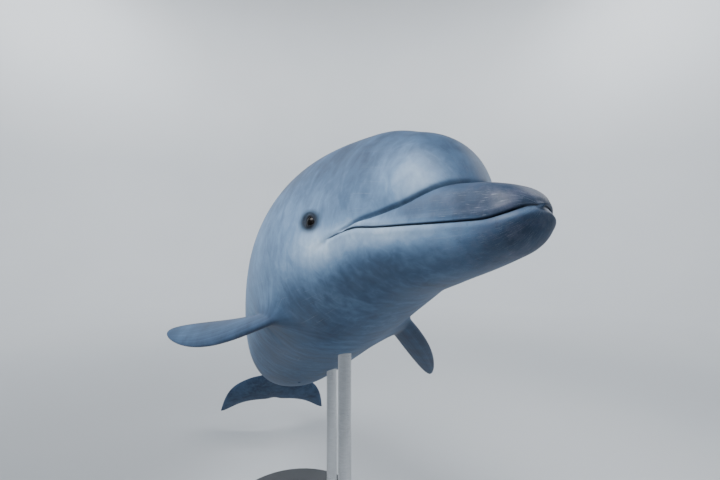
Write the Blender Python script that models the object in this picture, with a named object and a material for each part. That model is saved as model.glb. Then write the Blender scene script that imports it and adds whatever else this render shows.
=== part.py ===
"""Bottlenose dolphin, life size, held by a plain display stand.

The animal is described straight first: x is minus the distance s behind the upper jaw's tip,
y is left and z is up. pose() bends it along its spine and turns it into the model's own frame:
+Z up, the snout towards -Y, and the origin under the centre of the stand's base.
Every node is a closed solid, and neighbours keep a gap of 0.3 mm.
"""
import math

import bmesh
import bpy
import numpy as np
from mathutils import Vector
from mathutils.bvhtree import BVHTree

# ---------------------------------------------------------------- driving sizes, in metres
GAP = 0.0003
CREASE = 0.089              # where the melon rises from the beak
GAPE = 0.285                # corner of the mouth
HEAD_END = 0.42
CHEST_END = 1.10
TRUNK_END = 1.72
STOCK_END = 2.27            # the flukes start here
NOTCH = 2.50                # notch between the flukes: the body length
EYE_PLACE = (0.365, 75.0)   # distance behind the tip, degrees down from the top of the head
EYE_RADIUS = 0.015
EYE_PROUD = 0.003           # how far the eyeball stands out of the head
MIN_HALF_THICKNESS = 0.0004

# ---------------------------------------------------------------- profiles along the body
# (distance behind the tip, height above or below the axis, or half width)
TOP_LINE = [(0.0, .045), (.10, .096), (.15, .108), (.20, .125), (.26, .154), (.33, .178), (.45, .204),
            (.60, .225), (.80, .235), (1.0, .238), (1.2, .231), (1.4, .214), (1.6, .185), (1.8, .149),
            (2.0, .111), (2.2, .071), (2.35, .045), (2.5, .03)]
BOTTOM_LINE = [(0.0, -.071), (.05, -.084), (.10, -.094), (.15, -.101), (.20, -.109), (.26, -.120),
               (.33, -.141), (.45, -.186), (.60, -.226), (.80, -.241), (1.0, -.247), (1.2, -.249),
               (1.4, -.237), (1.6, -.199), (1.8, -.149), (2.0, -.099), (2.2, -.058), (2.35, -.036),
               (2.5, -.03)]
HALF_WIDTH = [(0.0, .028), (.03, .0375), (.06, .0437), (.10, .055), (.15, .0745), (.20, .0915), (.26, .109),
              (.33, .130), (.45, .166), (.60, .197), (.80, .218), (1.0, .224), (1.2, .218), (1.4, .199),
              (1.6, .166), (1.8, .121), (2.0, .0785), (2.2, .0463), (2.35, .034), (2.5, .03)]
MOUTH_LINE = [(0.0, -.036), (.01, -.041), (.03, -.046), (.06, -.0445), (.10, -.0405), (.15, -.036),
              (.21, -.0295), (.24, -.0255), (.26, -.026), (.285, -.029), (.31, -.033), (.34, -.034),
              (.40, -.027), (.50, -.014), (.65, -.006), (1.0, -.006), (1.6, -.002), (2.0, .004), (2.5, 0.0)]
LIP_HEIGHT = [(0.0, .022), (.03, .039), (.06, .0475), (.09, .0515), (.12, .0545), (.15, .049), (.20, .032),
              (.24, .018), (.27, .006), (.31, .004), (.60, .004), (2.5, .004)]

# ---------------------------------------------------------------- beak and melon
UPPER_TIP = 0.032           # lengths over which the jaws' ends round off
LOWER_TIP = 0.042
TIP_BLUNTNESS = 2.35        # of the upper jaw: 2 rounds off as a circle
CHIN_BLUNTNESS = 2.0
TIP_RETREAT = 0.0072        # the upper jaw ends this far behind the straight body's origin
JAW_LEAD = 0.0055           # the lower jaw's tip stands ahead of the upper one
LEAD_FADE = 0.05            # length over which both shifts die out
LEAD_DEPTH = 0.008          # depth below the mouth at which the lower jaw has all its lead
LIP_SQUARENESS = 3.0        # power of the section's superellipse: 2 is an ellipse
BELLY_SQUARENESS = 2.15
MELON_TOP = (0.205, 2.2)    # where the melon reaches full height, and how bluntly it rises
MELON_SIDE = (0.165, 2.0)   # the same for its width
MELON_LIFT = (0.40, 0.10, 0.36)      # its widest level, as a part of its height, fades to 0
MELON_NARROWING = (0.06, 0.2, 0.3)   # part by which it is narrower than the cheeks, fading to 0
FOLD_BLEND = 0.006          # how softly lip and melon meet

# ---------------------------------------------------------------- flukes
FLUKE_HALF_SPAN = 0.322
FLUKE_SWEEP = 0.341         # how far a fluke's tip lies behind its root
FLUKE_ROOT = 0.03           # half width of the tail where the front edges start
FLUKE_EDGE = ((0.49, 1.54), (0.51, 9))   # shares and powers of the two curves that make the front edge
FLUKE_LOBE = (0.013, 0.16)  # bulge of the rear edge beside the notch, and its part of the half span
FLUKE_SPREAD = (0.036, 1.15)   # half width of the first ring, and how early the rings widen
FLUKE_THICKNESS = 0.15      # of the chord
FLUKE_POWERS = (0.5, 0.7)   # of that thickness at the front and rear edges
FLUKE_PEAK = 0.45           # the largest value of their product
FLUKE_RIDGE = (0.016, 0.035)   # height and half width of the ridge that carries the tail on
FLUKE_BLEND = 0.45          # part of the flukes over which the tail's section turns into theirs
FLUKE_BODY = 0.10           # length of tail that this part spans

# ---------------------------------------------------------------- fins
PROFILE_POWERS = (0.5, 0.8)    # of a fin's thickness at its leading and trailing edges
PROFILE_PEAK = 0.42         # the largest value of that product
DORSAL_ROOT = (1.19, 1.53)
DORSAL_SEAT = 1.34          # the fin's base line passes through the back here
DORSAL_HEIGHT = 0.22
DORSAL_LEAN = (0.27, 1.3)   # how far the tip lies behind the root's front, and the curve's power
DORSAL_HOLLOW = (0.03, 0.06, 0.04)     # of the rear edge: root set-back, depth and the tip's reach
DORSAL_THICKNESS = (0.13, 0.03)        # part of the chord at the root, and its loss to the tip
DORSAL_TIP_POWER = 7
DORSAL_SLOPE = 0.09         # how the back falls along the root
FIN_START = (0.025, 0.03)   # height over the skin of the dorsal fin's and the flippers' first ring
FLIPPER_LENGTH = 0.374
FLIPPER_CHORD = 0.135
FLIPPER_FRONT = (-0.068, 0.05, 2.5)    # front of the root, then the tip's set-back and its power
FLIPPER_FULLNESS = 0.12     # the chord widens by this part at mid length
FLIPPER_THICKNESS = (0.20, 0.07)
FLIPPER_TWIST = (0.3, 0.7)  # part of the twist at the root, and the part gained to the tip
FLIPPER_PLACE = (0.62, 135.0)          # distance behind the tip, degrees down from the back
FLIPPER_PATCH = (0.51, 0.77)           # the stretch of body that a flipper's fillet takes up
DORSAL_PATCH = (1.13, 1.57)
LEFT_FLIPPER = (25.0, 44.0, -2.0)      # droop, sweep and twist in degrees
RIGHT_FLIPPER = (14.8, 48.8, -43.7)

# ---------------------------------------------------------------- pose, in degrees
# start and end of each bend, then yaw, pitch and roll spread over it
BENDS = [(0.36, 0.85, -7.8, -13.2, -3.8),
         (0.7, 1.5, 4.3, -8.3, 0.0),
         (1.2, 2.3, -4.3, 4.1, 0.0),
         (2.0, 2.42, 0.0, -32.6, -2.2),
         (0.8, 2.3, 0.0, 0.0, 5.5)]
HEAD_TURN = (-11.0, 21.3, -5.8)    # pitch, yaw and roll of the head
TIP_PLACE = (0.36, -0.96, 1.25)     # the upper jaw's tip in the model's frame

# ---------------------------------------------------------------- mesh fineness
HALF_COLUMNS = 16
BEAK_STATIONS = (.045, .06, .075)
MELON_STATIONS = (.094, .099, .106, .115, .127, .142, .16, .18, .205, .23, .257)
FLUKE_LEVELS = (.003, .1, .2, .3, .4, .5, .6, .7, .8, .88, .94, .98, 1.0)
FIN_LEVELS = (.12, .25, .38, .5, .62, .73, .83, .91, .97)
FLIPPER_GRID = (6, 4)       # rows and columns of the body's mesh under a flipper, and under the dorsal fin
DORSAL_GRID = (8, 4)
SPINE_LENGTH = 2.6
SPINE_STEPS = 260


def spline(table):
    """Natural cubic spline through (x, y) pairs, as a function of arrays."""
    x, y = np.array(table, float).T
    n = len(x)
    h = np.diff(x)
    system = np.eye(n)
    right = np.zeros(n)
    for i in range(1, n - 1):
        system[i, i - 1:i + 2] = h[i - 1], 2 * (h[i - 1] + h[i]), h[i]
        right[i] = 6 * ((y[i + 1] - y[i]) / h[i] - (y[i] - y[i - 1]) / h[i - 1])
    m = np.linalg.solve(system, right)

    def value(q):
        q = np.clip(np.asarray(q, float), x[0], x[-1])
        i = np.clip(np.searchsorted(x, q, side="right") - 1, 0, n - 2)
        a = x[i + 1] - q
        b = q - x[i]
        return ((m[i] * a**3 + m[i + 1] * b**3) / (6 * h[i]) + (y[i] / h[i] - m[i] * h[i] / 6) * a
                + (y[i + 1] / h[i] - m[i + 1] * h[i] / 6) * b)
    return value


top_line = spline(TOP_LINE)
bottom_line = spline(BOTTOM_LINE)
half_width = spline(HALF_WIDTH)
mouth_line = spline(MOUTH_LINE)
lip_height = spline(LIP_HEIGHT)


def smoothstep(q, a, b):
    t = np.clip((q - a) / (b - a), 0, 1)
    return t * t * (3 - 2 * t)


def fading(q, amount, a, b):
    """The amount up to a, and nothing from b on."""
    return amount * (1 - smoothstep(q, a, b))


def smooth_max(a, b, k):
    h = np.clip(0.5 + 0.5 * (a - b) / k, 0, 1)
    return b + (a - b) * h + k * h * (1 - h)


def rounding(q, a, b, power):
    """0 at a and 1 from b on, with a blunt start."""
    t = np.clip((q - a) / (b - a), 0, 1)
    return (1 - (1 - t)**power)**(1 / power)


def superellipse(sine, cosine, a, b, power):
    """Radius of a superellipse with half axes a across and b up, in the direction given."""
    a = np.maximum(a, 1e-6)
    b = np.maximum(b, 1e-6)
    return ((sine / a)**power + (cosine / b)**power)**(-1 / power)


def raised_ellipse(sine, cosine, a, height, lift):
    """Radius of an ellipse whose middle is lifted above the centre by a part of its height."""
    a = np.maximum(a, 1e-6)
    middle = lift * height
    b = np.maximum(height - middle, 1e-6)
    q = (sine / a)**2 + (cosine / b)**2
    along = middle * cosine / b**2
    return (along + np.sqrt(np.maximum(along**2 - q * ((middle / b)**2 - 1), 0))) / q


def radius(s, angle):
    """The body's radius about the mouth line's height. Angle 0 is the top, pi the underside."""
    sine = np.abs(np.sin(angle))
    cosine = np.abs(np.cos(angle))
    centre = mouth_line(s)
    upper_end = rounding(s, 0, UPPER_TIP, TIP_BLUNTNESS)
    lower_end = rounding(s, 0, LOWER_TIP, CHIN_BLUNTNESS)
    width = half_width(s) * upper_end
    lip = superellipse(sine, cosine, width, lip_height(s) * upper_end, LIP_SQUARENESS)
    melon_height = (top_line(s) - centre) * rounding(s, CREASE, *MELON_TOP)
    melon_width = half_width(s) * (1 - fading(s, *MELON_NARROWING)) * rounding(s, CREASE, *MELON_SIDE)
    melon = raised_ellipse(sine, cosine, melon_width, melon_height, fading(s, *MELON_LIFT))
    below = superellipse(sine, cosine, width, (centre - bottom_line(s)) * lower_end, BELLY_SQUARENESS)
    return np.where(np.cos(angle) >= 0, smooth_max(lip, melon, FOLD_BLEND), below)


def body_point(s, angle):
    """Points of the straight body. A negative angle is on the right side."""
    s, angle = np.broadcast_arrays(np.asarray(s, float), np.asarray(angle, float))
    r = radius(s, angle)
    depth = -r * np.cos(angle)
    lead = (JAW_LEAD * smoothstep(depth, 0, LEAD_DEPTH) - TIP_RETREAT) * np.exp(-s / LEAD_FADE)
    return np.stack([lead - s, r * np.sin(angle), mouth_line(s) - depth], -1)


def column_angle(s, phase):
    """Spreads evenly spaced phases evenly round a flattened section."""
    up = np.where(np.cos(phase) >= 0, top_line(s) - mouth_line(s), mouth_line(s) - bottom_line(s))
    return np.arctan2(half_width(s) * np.sin(phase), up * np.cos(phase))


# ---------------------------------------------------------------- bending and turning

def turn(axis, angle):
    """Rotation matrix about x (0), y (1) or z (2)."""
    i, j = [(1, 2), (2, 0), (0, 1)][axis]
    m = np.eye(3)
    m[i, i] = m[j, j] = math.cos(angle)
    m[j, i] = math.sin(angle)
    m[i, j] = -math.sin(angle)
    return m


def bent_spine():
    """Places and frames along the spine: the head is straight, and each bend adds its turns."""
    step = SPINE_LENGTH / SPINE_STEPS
    middle = (np.arange(SPINE_STEPS) + 0.5) * step
    turns = np.zeros((SPINE_STEPS, 3))
    for start, end, *angles in BENDS:
        weight = np.sin(np.pi * np.clip((middle - start) / (end - start), 0, 1))**2
        turns += np.outer(weight / weight.sum(), np.radians(angles))
    frames = [np.eye(3)]
    places = [np.zeros(3)]
    for yaw, pitch, roll in turns:
        half = turn(2, yaw / 2) @ turn(1, pitch / 2) @ turn(0, roll / 2)
        places.append(places[-1] - step * (frames[-1] @ half)[:, 0])
        frames.append(frames[-1] @ half @ half)
    return step, np.array(places), np.array(frames)


SPINE_STEP, SPINE_PLACES, SPINE_FRAMES = bent_spine()
# turns the straight head, which looks along +X, to look along -Y
FACING = np.array([[0.0, 1.0, 0.0], [-1.0, 0.0, 0.0], [0.0, 0.0, 1.0]])


def head_matrix():
    pitch, yaw, roll = np.radians(HEAD_TURN)
    return turn(1, -roll) @ turn(2, yaw) @ turn(0, pitch) @ FACING


HEAD_MATRIX = head_matrix()


def frame_at(s):
    """Place and frame of the bent spine at distance s."""
    q = np.clip(s / SPINE_STEP, 0, SPINE_STEPS - 0.001)
    i = q.astype(int)
    f = (q - i)[..., None]
    place = SPINE_PLACES[i] * (1 - f) + SPINE_PLACES[i + 1] * f
    frame = SPINE_FRAMES[i] * (1 - f[..., None]) + SPINE_FRAMES[i + 1] * f[..., None]
    return place, frame, s - q * SPINE_STEP


def pose(points):
    """Straight points bent along the spine and turned into the model's frame."""
    points = np.asarray(points, float)
    place, frame, beyond = frame_at(-points[..., 0])
    local = np.stack([-beyond, points[..., 1], points[..., 2]], -1)
    bent = place + np.einsum("...ij,...j->...i", frame, local)
    return bent @ HEAD_MATRIX.T + np.array(TIP_PLACE)


# ---------------------------------------------------------------- surfaces

def body_ring(s):
    """One ring of the bent body, from the top down the left side and up the right side."""
    phase = np.arange(2 * HALF_COLUMNS) * math.pi / HALF_COLUMNS
    return pose(body_point(s, column_angle(s, phase)))


def fin_profile(ring_phase):
    """Chord fraction and thickness of a fin's section. Phase 0 is the leading edge, pi the trailing."""
    f = (1 - np.cos(ring_phase)) / 2
    shape = f**PROFILE_POWERS[0] * (1 - f)**PROFILE_POWERS[1]
    return f, np.sign(np.sin(ring_phase)) * shape / PROFILE_PEAK


def fluke_front(y):
    v = np.clip((np.abs(y) - FLUKE_ROOT) / (FLUKE_HALF_SPAN - FLUKE_ROOT), 0, 1)
    return STOCK_END + FLUKE_SWEEP * sum(share * v**power for share, power in FLUKE_EDGE)


def fluke_rear(y):
    v = np.abs(y) / FLUKE_HALF_SPAN
    lobe, width = FLUKE_LOBE
    return NOTCH + lobe * smoothstep(v, 0, width) + (STOCK_END + FLUKE_SWEEP - NOTCH - lobe) * v**3


def fluke_point(t, phase):
    """The flukes carry on from the tail stock: t runs from 0 at its end to 1 at the rear edge."""
    t, phase = np.broadcast_arrays(np.asarray(t, float), np.asarray(phase, float))
    across = np.sin(phase)
    root, power = FLUKE_SPREAD
    reach = root + (FLUKE_HALF_SPAN - root) * t**power
    y = across * reach
    rear = fluke_rear(y)
    front = fluke_front(y)
    edge = np.abs(across)**6
    s = ((1 - t) * STOCK_END + t * rear) * (1 - edge) + fluke_front(reach) * edge
    chord = np.maximum(rear - front, 1e-3)
    f = np.clip((s - front) / chord, 0, 1)
    half = FLUKE_THICKNESS * chord / 2 * f**FLUKE_POWERS[0] * (1 - f)**FLUKE_POWERS[1] / FLUKE_PEAK
    ridge = FLUKE_RIDGE[0] * (1 - t) * np.exp(-(y / FLUKE_RIDGE[1])**2)
    half = np.maximum(half + ridge, MIN_HALF_THICKNESS) * np.where(np.abs(across) > 0.999, 0, 1)
    fin = np.stack([-s, y, half * np.sign(np.cos(phase))], -1)
    s_body = STOCK_END + t * FLUKE_BODY
    body = body_point(s_body, column_angle(s_body, phase))
    keep = (1 - smoothstep(t, 0, FLUKE_BLEND))[..., None]
    return fin * (1 - keep) + body * keep


# ---------------------------------------------------------------- mesh helpers

def loop_offsets(rows, columns):
    """Row and column steps round a patch, from the middle of its front side, columns increasing."""
    half = columns // 2
    steps = [(0, c) for c in range(half, columns)]
    steps += [(r, columns) for r in range(rows)]
    steps += [(rows, c) for c in range(columns, 0, -1)]
    steps += [(r, 0) for r in range(rows, 0, -1)]
    steps += [(0, c) for c in range(half)]
    return steps


def patch_phase(rows, columns):
    """Section phase of each point of a patch's boundary: 0 in front, pi behind."""
    steps = np.array(loop_offsets(rows, columns), float)
    a = steps[:, 0] * 2 / rows - 1
    b = steps[:, 1] * 2 / columns - 1
    return np.arctan2(b, -a)


class Solid:
    """Collects points and faces, sharing the points that coincide."""

    def __init__(self):
        self.points = []
        self.faces = []

    def add(self, points):
        start = len(self.points)
        self.points.extend(np.asarray(points, float).reshape(-1, 3))
        return np.arange(start, len(self.points))

    def bridge(self, lower, upper, closed=True):
        count = len(lower)
        for k in range(count if closed else count - 1):
            n = (k + 1) % count
            self.faces.append((lower[k], lower[n], upper[n], upper[k]))

    def cap(self, ring):
        """Closes a loop with strips from one side to the other. Its first point is an end."""
        count = len(ring)
        half = count // 2
        for k in range(half):
            a, b = ring[k], ring[k + 1]
            c, d = ring[(count - k - 1) % count], ring[(count - k) % count]
            face = [a, b]
            face += [c] if c != b else []
            face += [d] if d not in (a, c) else []
            if len(face) > 2:
                self.faces.append(tuple(face))

    def fan(self, ring, tip, closed=True):
        count = len(ring)
        for k in range(count if closed else count - 1):
            self.faces.append((ring[k], ring[(k + 1) % count], tip))

    def build(self, name, material, smooth_angle=50.0):
        mesh = bpy.data.meshes.new(name)
        mesh.from_pydata([tuple(p) for p in self.points], [], [tuple(int(i) for i in f) for f in self.faces])
        shape = bmesh.new()
        shape.from_mesh(mesh)
        bmesh.ops.recalc_face_normals(shape, faces=shape.faces)
        shape.to_mesh(mesh)
        shape.free()
        mesh.shade_smooth()
        mesh.set_sharp_from_angle(angle=math.radians(smooth_angle))
        mesh.materials.append(material)
        part = bpy.data.objects.new(name, mesh)
        bpy.context.scene.collection.objects.link(part)
        return part


def material(name, color, roughness, metallic=0.0):
    made = bpy.data.materials.new(name)
    made.use_nodes = True
    shader = made.node_tree.nodes["Principled BSDF"]
    shader.inputs["Base Color"].default_value = (*color, 1.0)
    shader.inputs["Roughness"].default_value = roughness
    shader.inputs["Metallic"].default_value = metallic
    return made


def unit(v):
    return v / np.linalg.norm(v, axis=-1, keepdims=True)


def fillet(boundary, inward, fin_ring, outward, rings):
    """Curved rings from a patch's boundary on the body to a fin's first ring."""
    span = np.linalg.norm(fin_ring - boundary, axis=-1, keepdims=True)
    made = []
    for u in np.linspace(0, 1, rings + 2)[1:-1]:
        a = 2 * u**3 - 3 * u**2 + 1
        b = u**3 - 2 * u**2 + u
        c = -2 * u**3 + 3 * u**2
        d = u**3 - u**2
        made.append(a * boundary + b * span * inward + c * fin_ring + d * span * outward)
    return made


# ---------------------------------------------------------------- body lengths

def body_length(name, stations, colour, patches=()):
    """A closed length of the body between two stations, with stubs for the fins on its patches."""
    solid = Solid()
    rings = [solid.add(body_ring(s)) for s in stations]
    count = 2 * HALF_COLUMNS
    taken = set()
    for patch in patches:
        for r in range(patch["rows"]):
            for c in range(patch["columns"]):
                taken.add((patch["row"] + r, (patch["column"] + c) % count))
    for i in range(len(rings) - 1):
        for j in range(count):
            if (i, j) not in taken:
                n = (j + 1) % count
                solid.faces.append((rings[i][j], rings[i][n], rings[i + 1][n], rings[i + 1][j]))
    solid.cap(rings[0])
    solid.cap(rings[-1])
    for patch in patches:
        add_stub(solid, rings, patch)
    return solid.build(name, colour)


def patch_boundary(points, patch):
    """Boundary points of a patch, and directions into it along the surface."""
    count = 2 * HALF_COLUMNS
    inner = []
    outer = []
    for r, c in loop_offsets(patch["rows"], patch["columns"]):
        i, j = patch["row"] + r, patch["column"] + c
        di = -1 if r == 0 else (1 if r == patch["rows"] else 0)
        dj = -1 if c == 0 else (1 if c == patch["columns"] else 0)
        inner.append((i, j % count))
        outer.append((i + di, (j + dj) % count))
    edge = np.array([points[i][j] for i, j in inner])
    beyond = np.array([points[i][j] for i, j in outer])
    return inner, edge, unit(edge - beyond)


def add_stub(solid, rings, patch):
    points = [np.array([solid.points[v] for v in ring]) for ring in rings]
    index, edge, inward = patch_boundary(points, patch)
    phase = patch_phase(patch["rows"], patch["columns"])
    first = patch["fin"](0.0, phase)
    outward = unit(patch["fin"](0.02, phase) - first)
    last = np.array([rings[i][j] for i, j in index])
    for ring in fillet(edge, inward, first, outward, 2):
        new = solid.add(ring)
        solid.bridge(last, new)
        last = new
    new = solid.add(first)
    solid.bridge(last, new)
    solid.cap(new)


def fin_solid(name, colour, fin, phase, start, levels):
    """The free part of a fin, from just clear of its stub to its tip."""
    solid = Solid()
    rings = [solid.add(fin(t, phase)) for t in np.concatenate([[start], levels])]
    solid.cap(rings[0])
    for a, b in zip(rings, rings[1:]):
        solid.bridge(a, b)
    tip = solid.add(fin(1.0, phase).mean(0))[0]
    solid.fan(rings[-1], tip)
    return solid.build(name, colour)


# ---------------------------------------------------------------- fins

def dorsal_fin(t, phase):
    """Falcate fin on the back: a ring of its section at height t, from the stub to the tip."""
    f, thickness = fin_profile(phase)
    front = DORSAL_ROOT[0] + DORSAL_LEAN[0] * t**DORSAL_LEAN[1]
    set_back, hollow, reach = DORSAL_HOLLOW
    rear = DORSAL_ROOT[1] - set_back - hollow * math.sin(math.pi * t**.9) + reach * t * t
    middle = (front + rear) / 2
    chord = (rear - front) * math.sqrt(1 - min(t, .9999)**DORSAL_TIP_POWER)
    s = middle + (f - .5) * chord
    base = top_line(DORSAL_SEAT) - DORSAL_SLOPE * (s * (1 - t) + middle * t - DORSAL_SEAT)
    rise = FIN_START[0] + (DORSAL_HEIGHT - FIN_START[0]) * t
    half = (DORSAL_THICKNESS[0] - DORSAL_THICKNESS[1] * t) * chord / 2 * thickness
    return pose(np.stack([-s, half, base + rise], -1))


def flipper(side, place, droop, sweep, twist):
    """Sickle-shaped flipper. Side is 1 on the left; the angles are in degrees."""
    s, angle = place
    root = pose(body_point(s, side * math.radians(angle)))
    back = unit(pose(body_point(s + .02, side * math.radians(angle)))
                - pose(body_point(s - .02, side * math.radians(angle))))
    droop, sweep = math.radians(droop), math.radians(sweep)
    straight = np.array([-math.sin(sweep), side * math.cos(sweep) * math.cos(droop),
                         -math.cos(sweep) * math.sin(droop)])
    frame = frame_at(np.array(s))[1]
    out = HEAD_MATRIX @ frame @ straight

    def ring(t, phase):
        f, thickness = fin_profile(phase)
        turned = math.radians(twist) * (FLIPPER_TWIST[0] + FLIPPER_TWIST[1] * t)
        chord_way = back * math.cos(turned) + unit(np.cross(out, back)) * math.sin(turned)
        across = unit(np.cross(chord_way, out))
        front = FLIPPER_FRONT[0] + FLIPPER_FRONT[1] * t**FLIPPER_FRONT[2]
        fullness = 1 + FLIPPER_FULLNESS * math.sin(math.pi * t)
        chord = FLIPPER_CHORD * fullness * math.sqrt(1 - min(t, .9999)**3)
        half = (FLIPPER_THICKNESS[0] - FLIPPER_THICKNESS[1] * t) * chord / 2 * thickness
        along = FIN_START[1] + (FLIPPER_LENGTH - FIN_START[1]) * t
        middle = front + FLIPPER_CHORD / 2
        u = middle + (f - .5) * chord
        return root + out * along + np.outer(u, chord_way) + np.outer(half, across)
    return ring


# ---------------------------------------------------------------- head

def half_ring(s, below):
    """Upper or lower half of a head ring from its middle: down the left side, then the right."""
    phase = np.arange(HALF_COLUMNS + 1) * math.pi / HALF_COLUMNS - math.pi / 2
    phase = np.roll(phase, -(HALF_COLUMNS // 2)) + (math.pi if below else 0)
    points = body_point(s, column_angle(s, phase))
    corners = [HALF_COLUMNS // 2, HALF_COLUMNS // 2 + 1]
    points[corners, 2] += -GAP / 2 if below else GAP / 2
    return pose(points)


def jaw(name, stations, colour, below):
    """Half of the snout, flat where it meets the other half."""
    solid = Solid()
    lift = -GAP / 2 if below else GAP / 2
    tip = solid.add(pose([[0, 0, mouth_line(0) + lift]]))[0]
    rings = [solid.add(half_ring(s, below)) for s in stations]
    solid.fan(rings[0], tip)
    for a, b in zip(rings, rings[1:]):
        solid.bridge(a, b)
    solid.cap(rings[-1])
    return solid.build(name, colour)


def head(colour):
    """Melon, cranium and cheeks: only the upper half reaches forward over the mouth."""
    solid = Solid()
    upper = [CREASE + GAP / 2, *MELON_STATIONS]
    whole = np.linspace(GAPE + GAP / 2, HEAD_END - GAP / 2, 6)
    rings = [solid.add(half_ring(s, False)) for s in upper]
    full = [solid.add(body_ring(s)) for s in whole]
    middle = HALF_COLUMNS // 2
    top = np.concatenate([full[0][:middle + 1], full[0][-middle:]])
    rings.append(top)
    for a, b in zip(rings, rings[1:]):
        solid.bridge(a, b)
    solid.cap(rings[0])
    under = full[0][middle:-middle + 1]
    solid.cap(np.roll(under, -middle))
    for a, b in zip(full, full[1:]):
        solid.bridge(a, b)
    solid.cap(full[-1])
    return solid.build("head", colour)


def sphere(name, centre, size, colour, segments=20):
    mesh = bpy.data.meshes.new(name)
    shape = bmesh.new()
    bmesh.ops.create_uvsphere(shape, u_segments=segments, v_segments=segments // 2, radius=size)
    shape.to_mesh(mesh)
    shape.free()
    mesh.shade_smooth()
    if colour:
        mesh.materials.append(colour)
    ball = bpy.data.objects.new(name, mesh)
    ball.location = centre
    bpy.context.scene.collection.objects.link(ball)
    return ball


def eye_centre(side):
    s, angle = EYE_PLACE[0], side * math.radians(EYE_PLACE[1])
    step = 0.01
    here = pose(body_point(s, angle))
    along = pose(body_point(s + step, angle)) - here
    round_way = pose(body_point(s, angle + step)) - here
    outward = unit(np.cross(along, round_way))
    middle = pose([-s, 0, mouth_line(s)])
    outward = outward if np.dot(outward, here - middle) > 0 else -outward
    return here - outward * (EYE_RADIUS - EYE_PROUD)


def add_eyes(skull, colour):
    """Eyeballs, each in a socket cut to its shape."""
    for side, name in ((1, "eye_left"), (-1, "eye_right")):
        centre = Vector(eye_centre(side))
        sphere(name, centre, EYE_RADIUS, colour)
        cutter = sphere(name + "_socket", centre, EYE_RADIUS + 1.2 * GAP, None)
        cutter.hide_render = True
        cutter.display_type = "WIRE"
        cut = skull.modifiers.new(name + "_socket", "BOOLEAN")
        cut.operation = "DIFFERENCE"
        cut.solver = "EXACT"
        cut.object = cutter


# ---------------------------------------------------------------- flukes

def fluke(name, side, colour):
    """One fluke: the flukes' half on its side of the middle plane."""
    solid = Solid()
    phase = np.arange(HALF_COLUMNS + 1) * math.pi / HALF_COLUMNS
    rings = []
    for t in FLUKE_LEVELS:
        points = fluke_point(t, phase)
        points[:, 1] = np.maximum(points[:, 1], 0) + GAP / 2
        points[:, 1] *= side
        rings.append(solid.add(pose(points)))
    for a, b in zip(rings, rings[1:]):
        solid.bridge(a, b)
    for ring in (rings[0], rings[-1]):
        for k in range(HALF_COLUMNS // 2):
            a, b, c, d = ring[k], ring[k + 1], ring[-k - 2], ring[-k - 1]
            solid.faces.append((a, b, c, d) if b != c else (a, b, d))
    return solid.build(name, colour)


# ---------------------------------------------------------------- stand

BASE_LENGTH = 1.20
BASE_WIDTH = 0.62
BASE_THICKNESS = 0.03
BASE_BEVEL = 0.004
BASE_SIDES = 48
BASE_TURN = -70.0           # degrees from +X to the base's long axis
ROD_RADIUS = 0.016
ROD_SIDES = 24
BELLY_GAP = 0.0008
ROD_PLACES = [("front", 0.68, 0.035), ("rear", 1.05, 0.075)]   # distance behind the tip, to the left
COLLAR_RADIUS = 0.05
COLLAR_HEIGHT = 0.012
COLLAR_BEVEL = 0.003


def disc(centre, radius_, height, count):
    angle = np.arange(count) * 2 * math.pi / count
    ring = np.stack([np.cos(angle), np.sin(angle), 0 * angle], -1) * radius_
    return ring + [centre[0], centre[1], height]


def stand_base(colour):
    """Flat base with round ends and a small bevel at its upper edge."""
    solid = Solid()
    angle = np.arange(BASE_SIDES) * 2 * math.pi / BASE_SIDES
    shift = (BASE_LENGTH - BASE_WIDTH) / 2
    middle = math.radians(BASE_TURN)
    rings = []
    for inset, height in ((0.0, 0.0), (0.0, BASE_THICKNESS - BASE_BEVEL), (BASE_BEVEL, BASE_THICKNESS)):
        r = BASE_WIDTH / 2 - inset
        x = r * np.cos(angle) + np.where(np.cos(angle) >= 0, shift, -shift)
        y = r * np.sin(angle)
        turned = [x * math.cos(middle) - y * math.sin(middle), x * math.sin(middle) + y * math.cos(middle)]
        rings.append(solid.add(np.stack([*turned, 0 * x + height], -1)))
    for a, b in zip(rings, rings[1:]):
        solid.bridge(a, b)
    solid.faces.append(tuple(rings[0]))
    solid.faces.append(tuple(rings[-1]))
    return solid.build("stand_base", colour, 30.0)


def under_belly(trees, points):
    """Points raised until they are just under the belly."""
    raised = []
    for x, y, _ in points:
        hits = [tree.ray_cast(Vector((x, y, BASE_THICKNESS)), Vector((0, 0, 1)))[0] for tree in trees]
        raised.append([x, y, min(hit.z for hit in hits if hit) - BELLY_GAP])
    return raised


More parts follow.
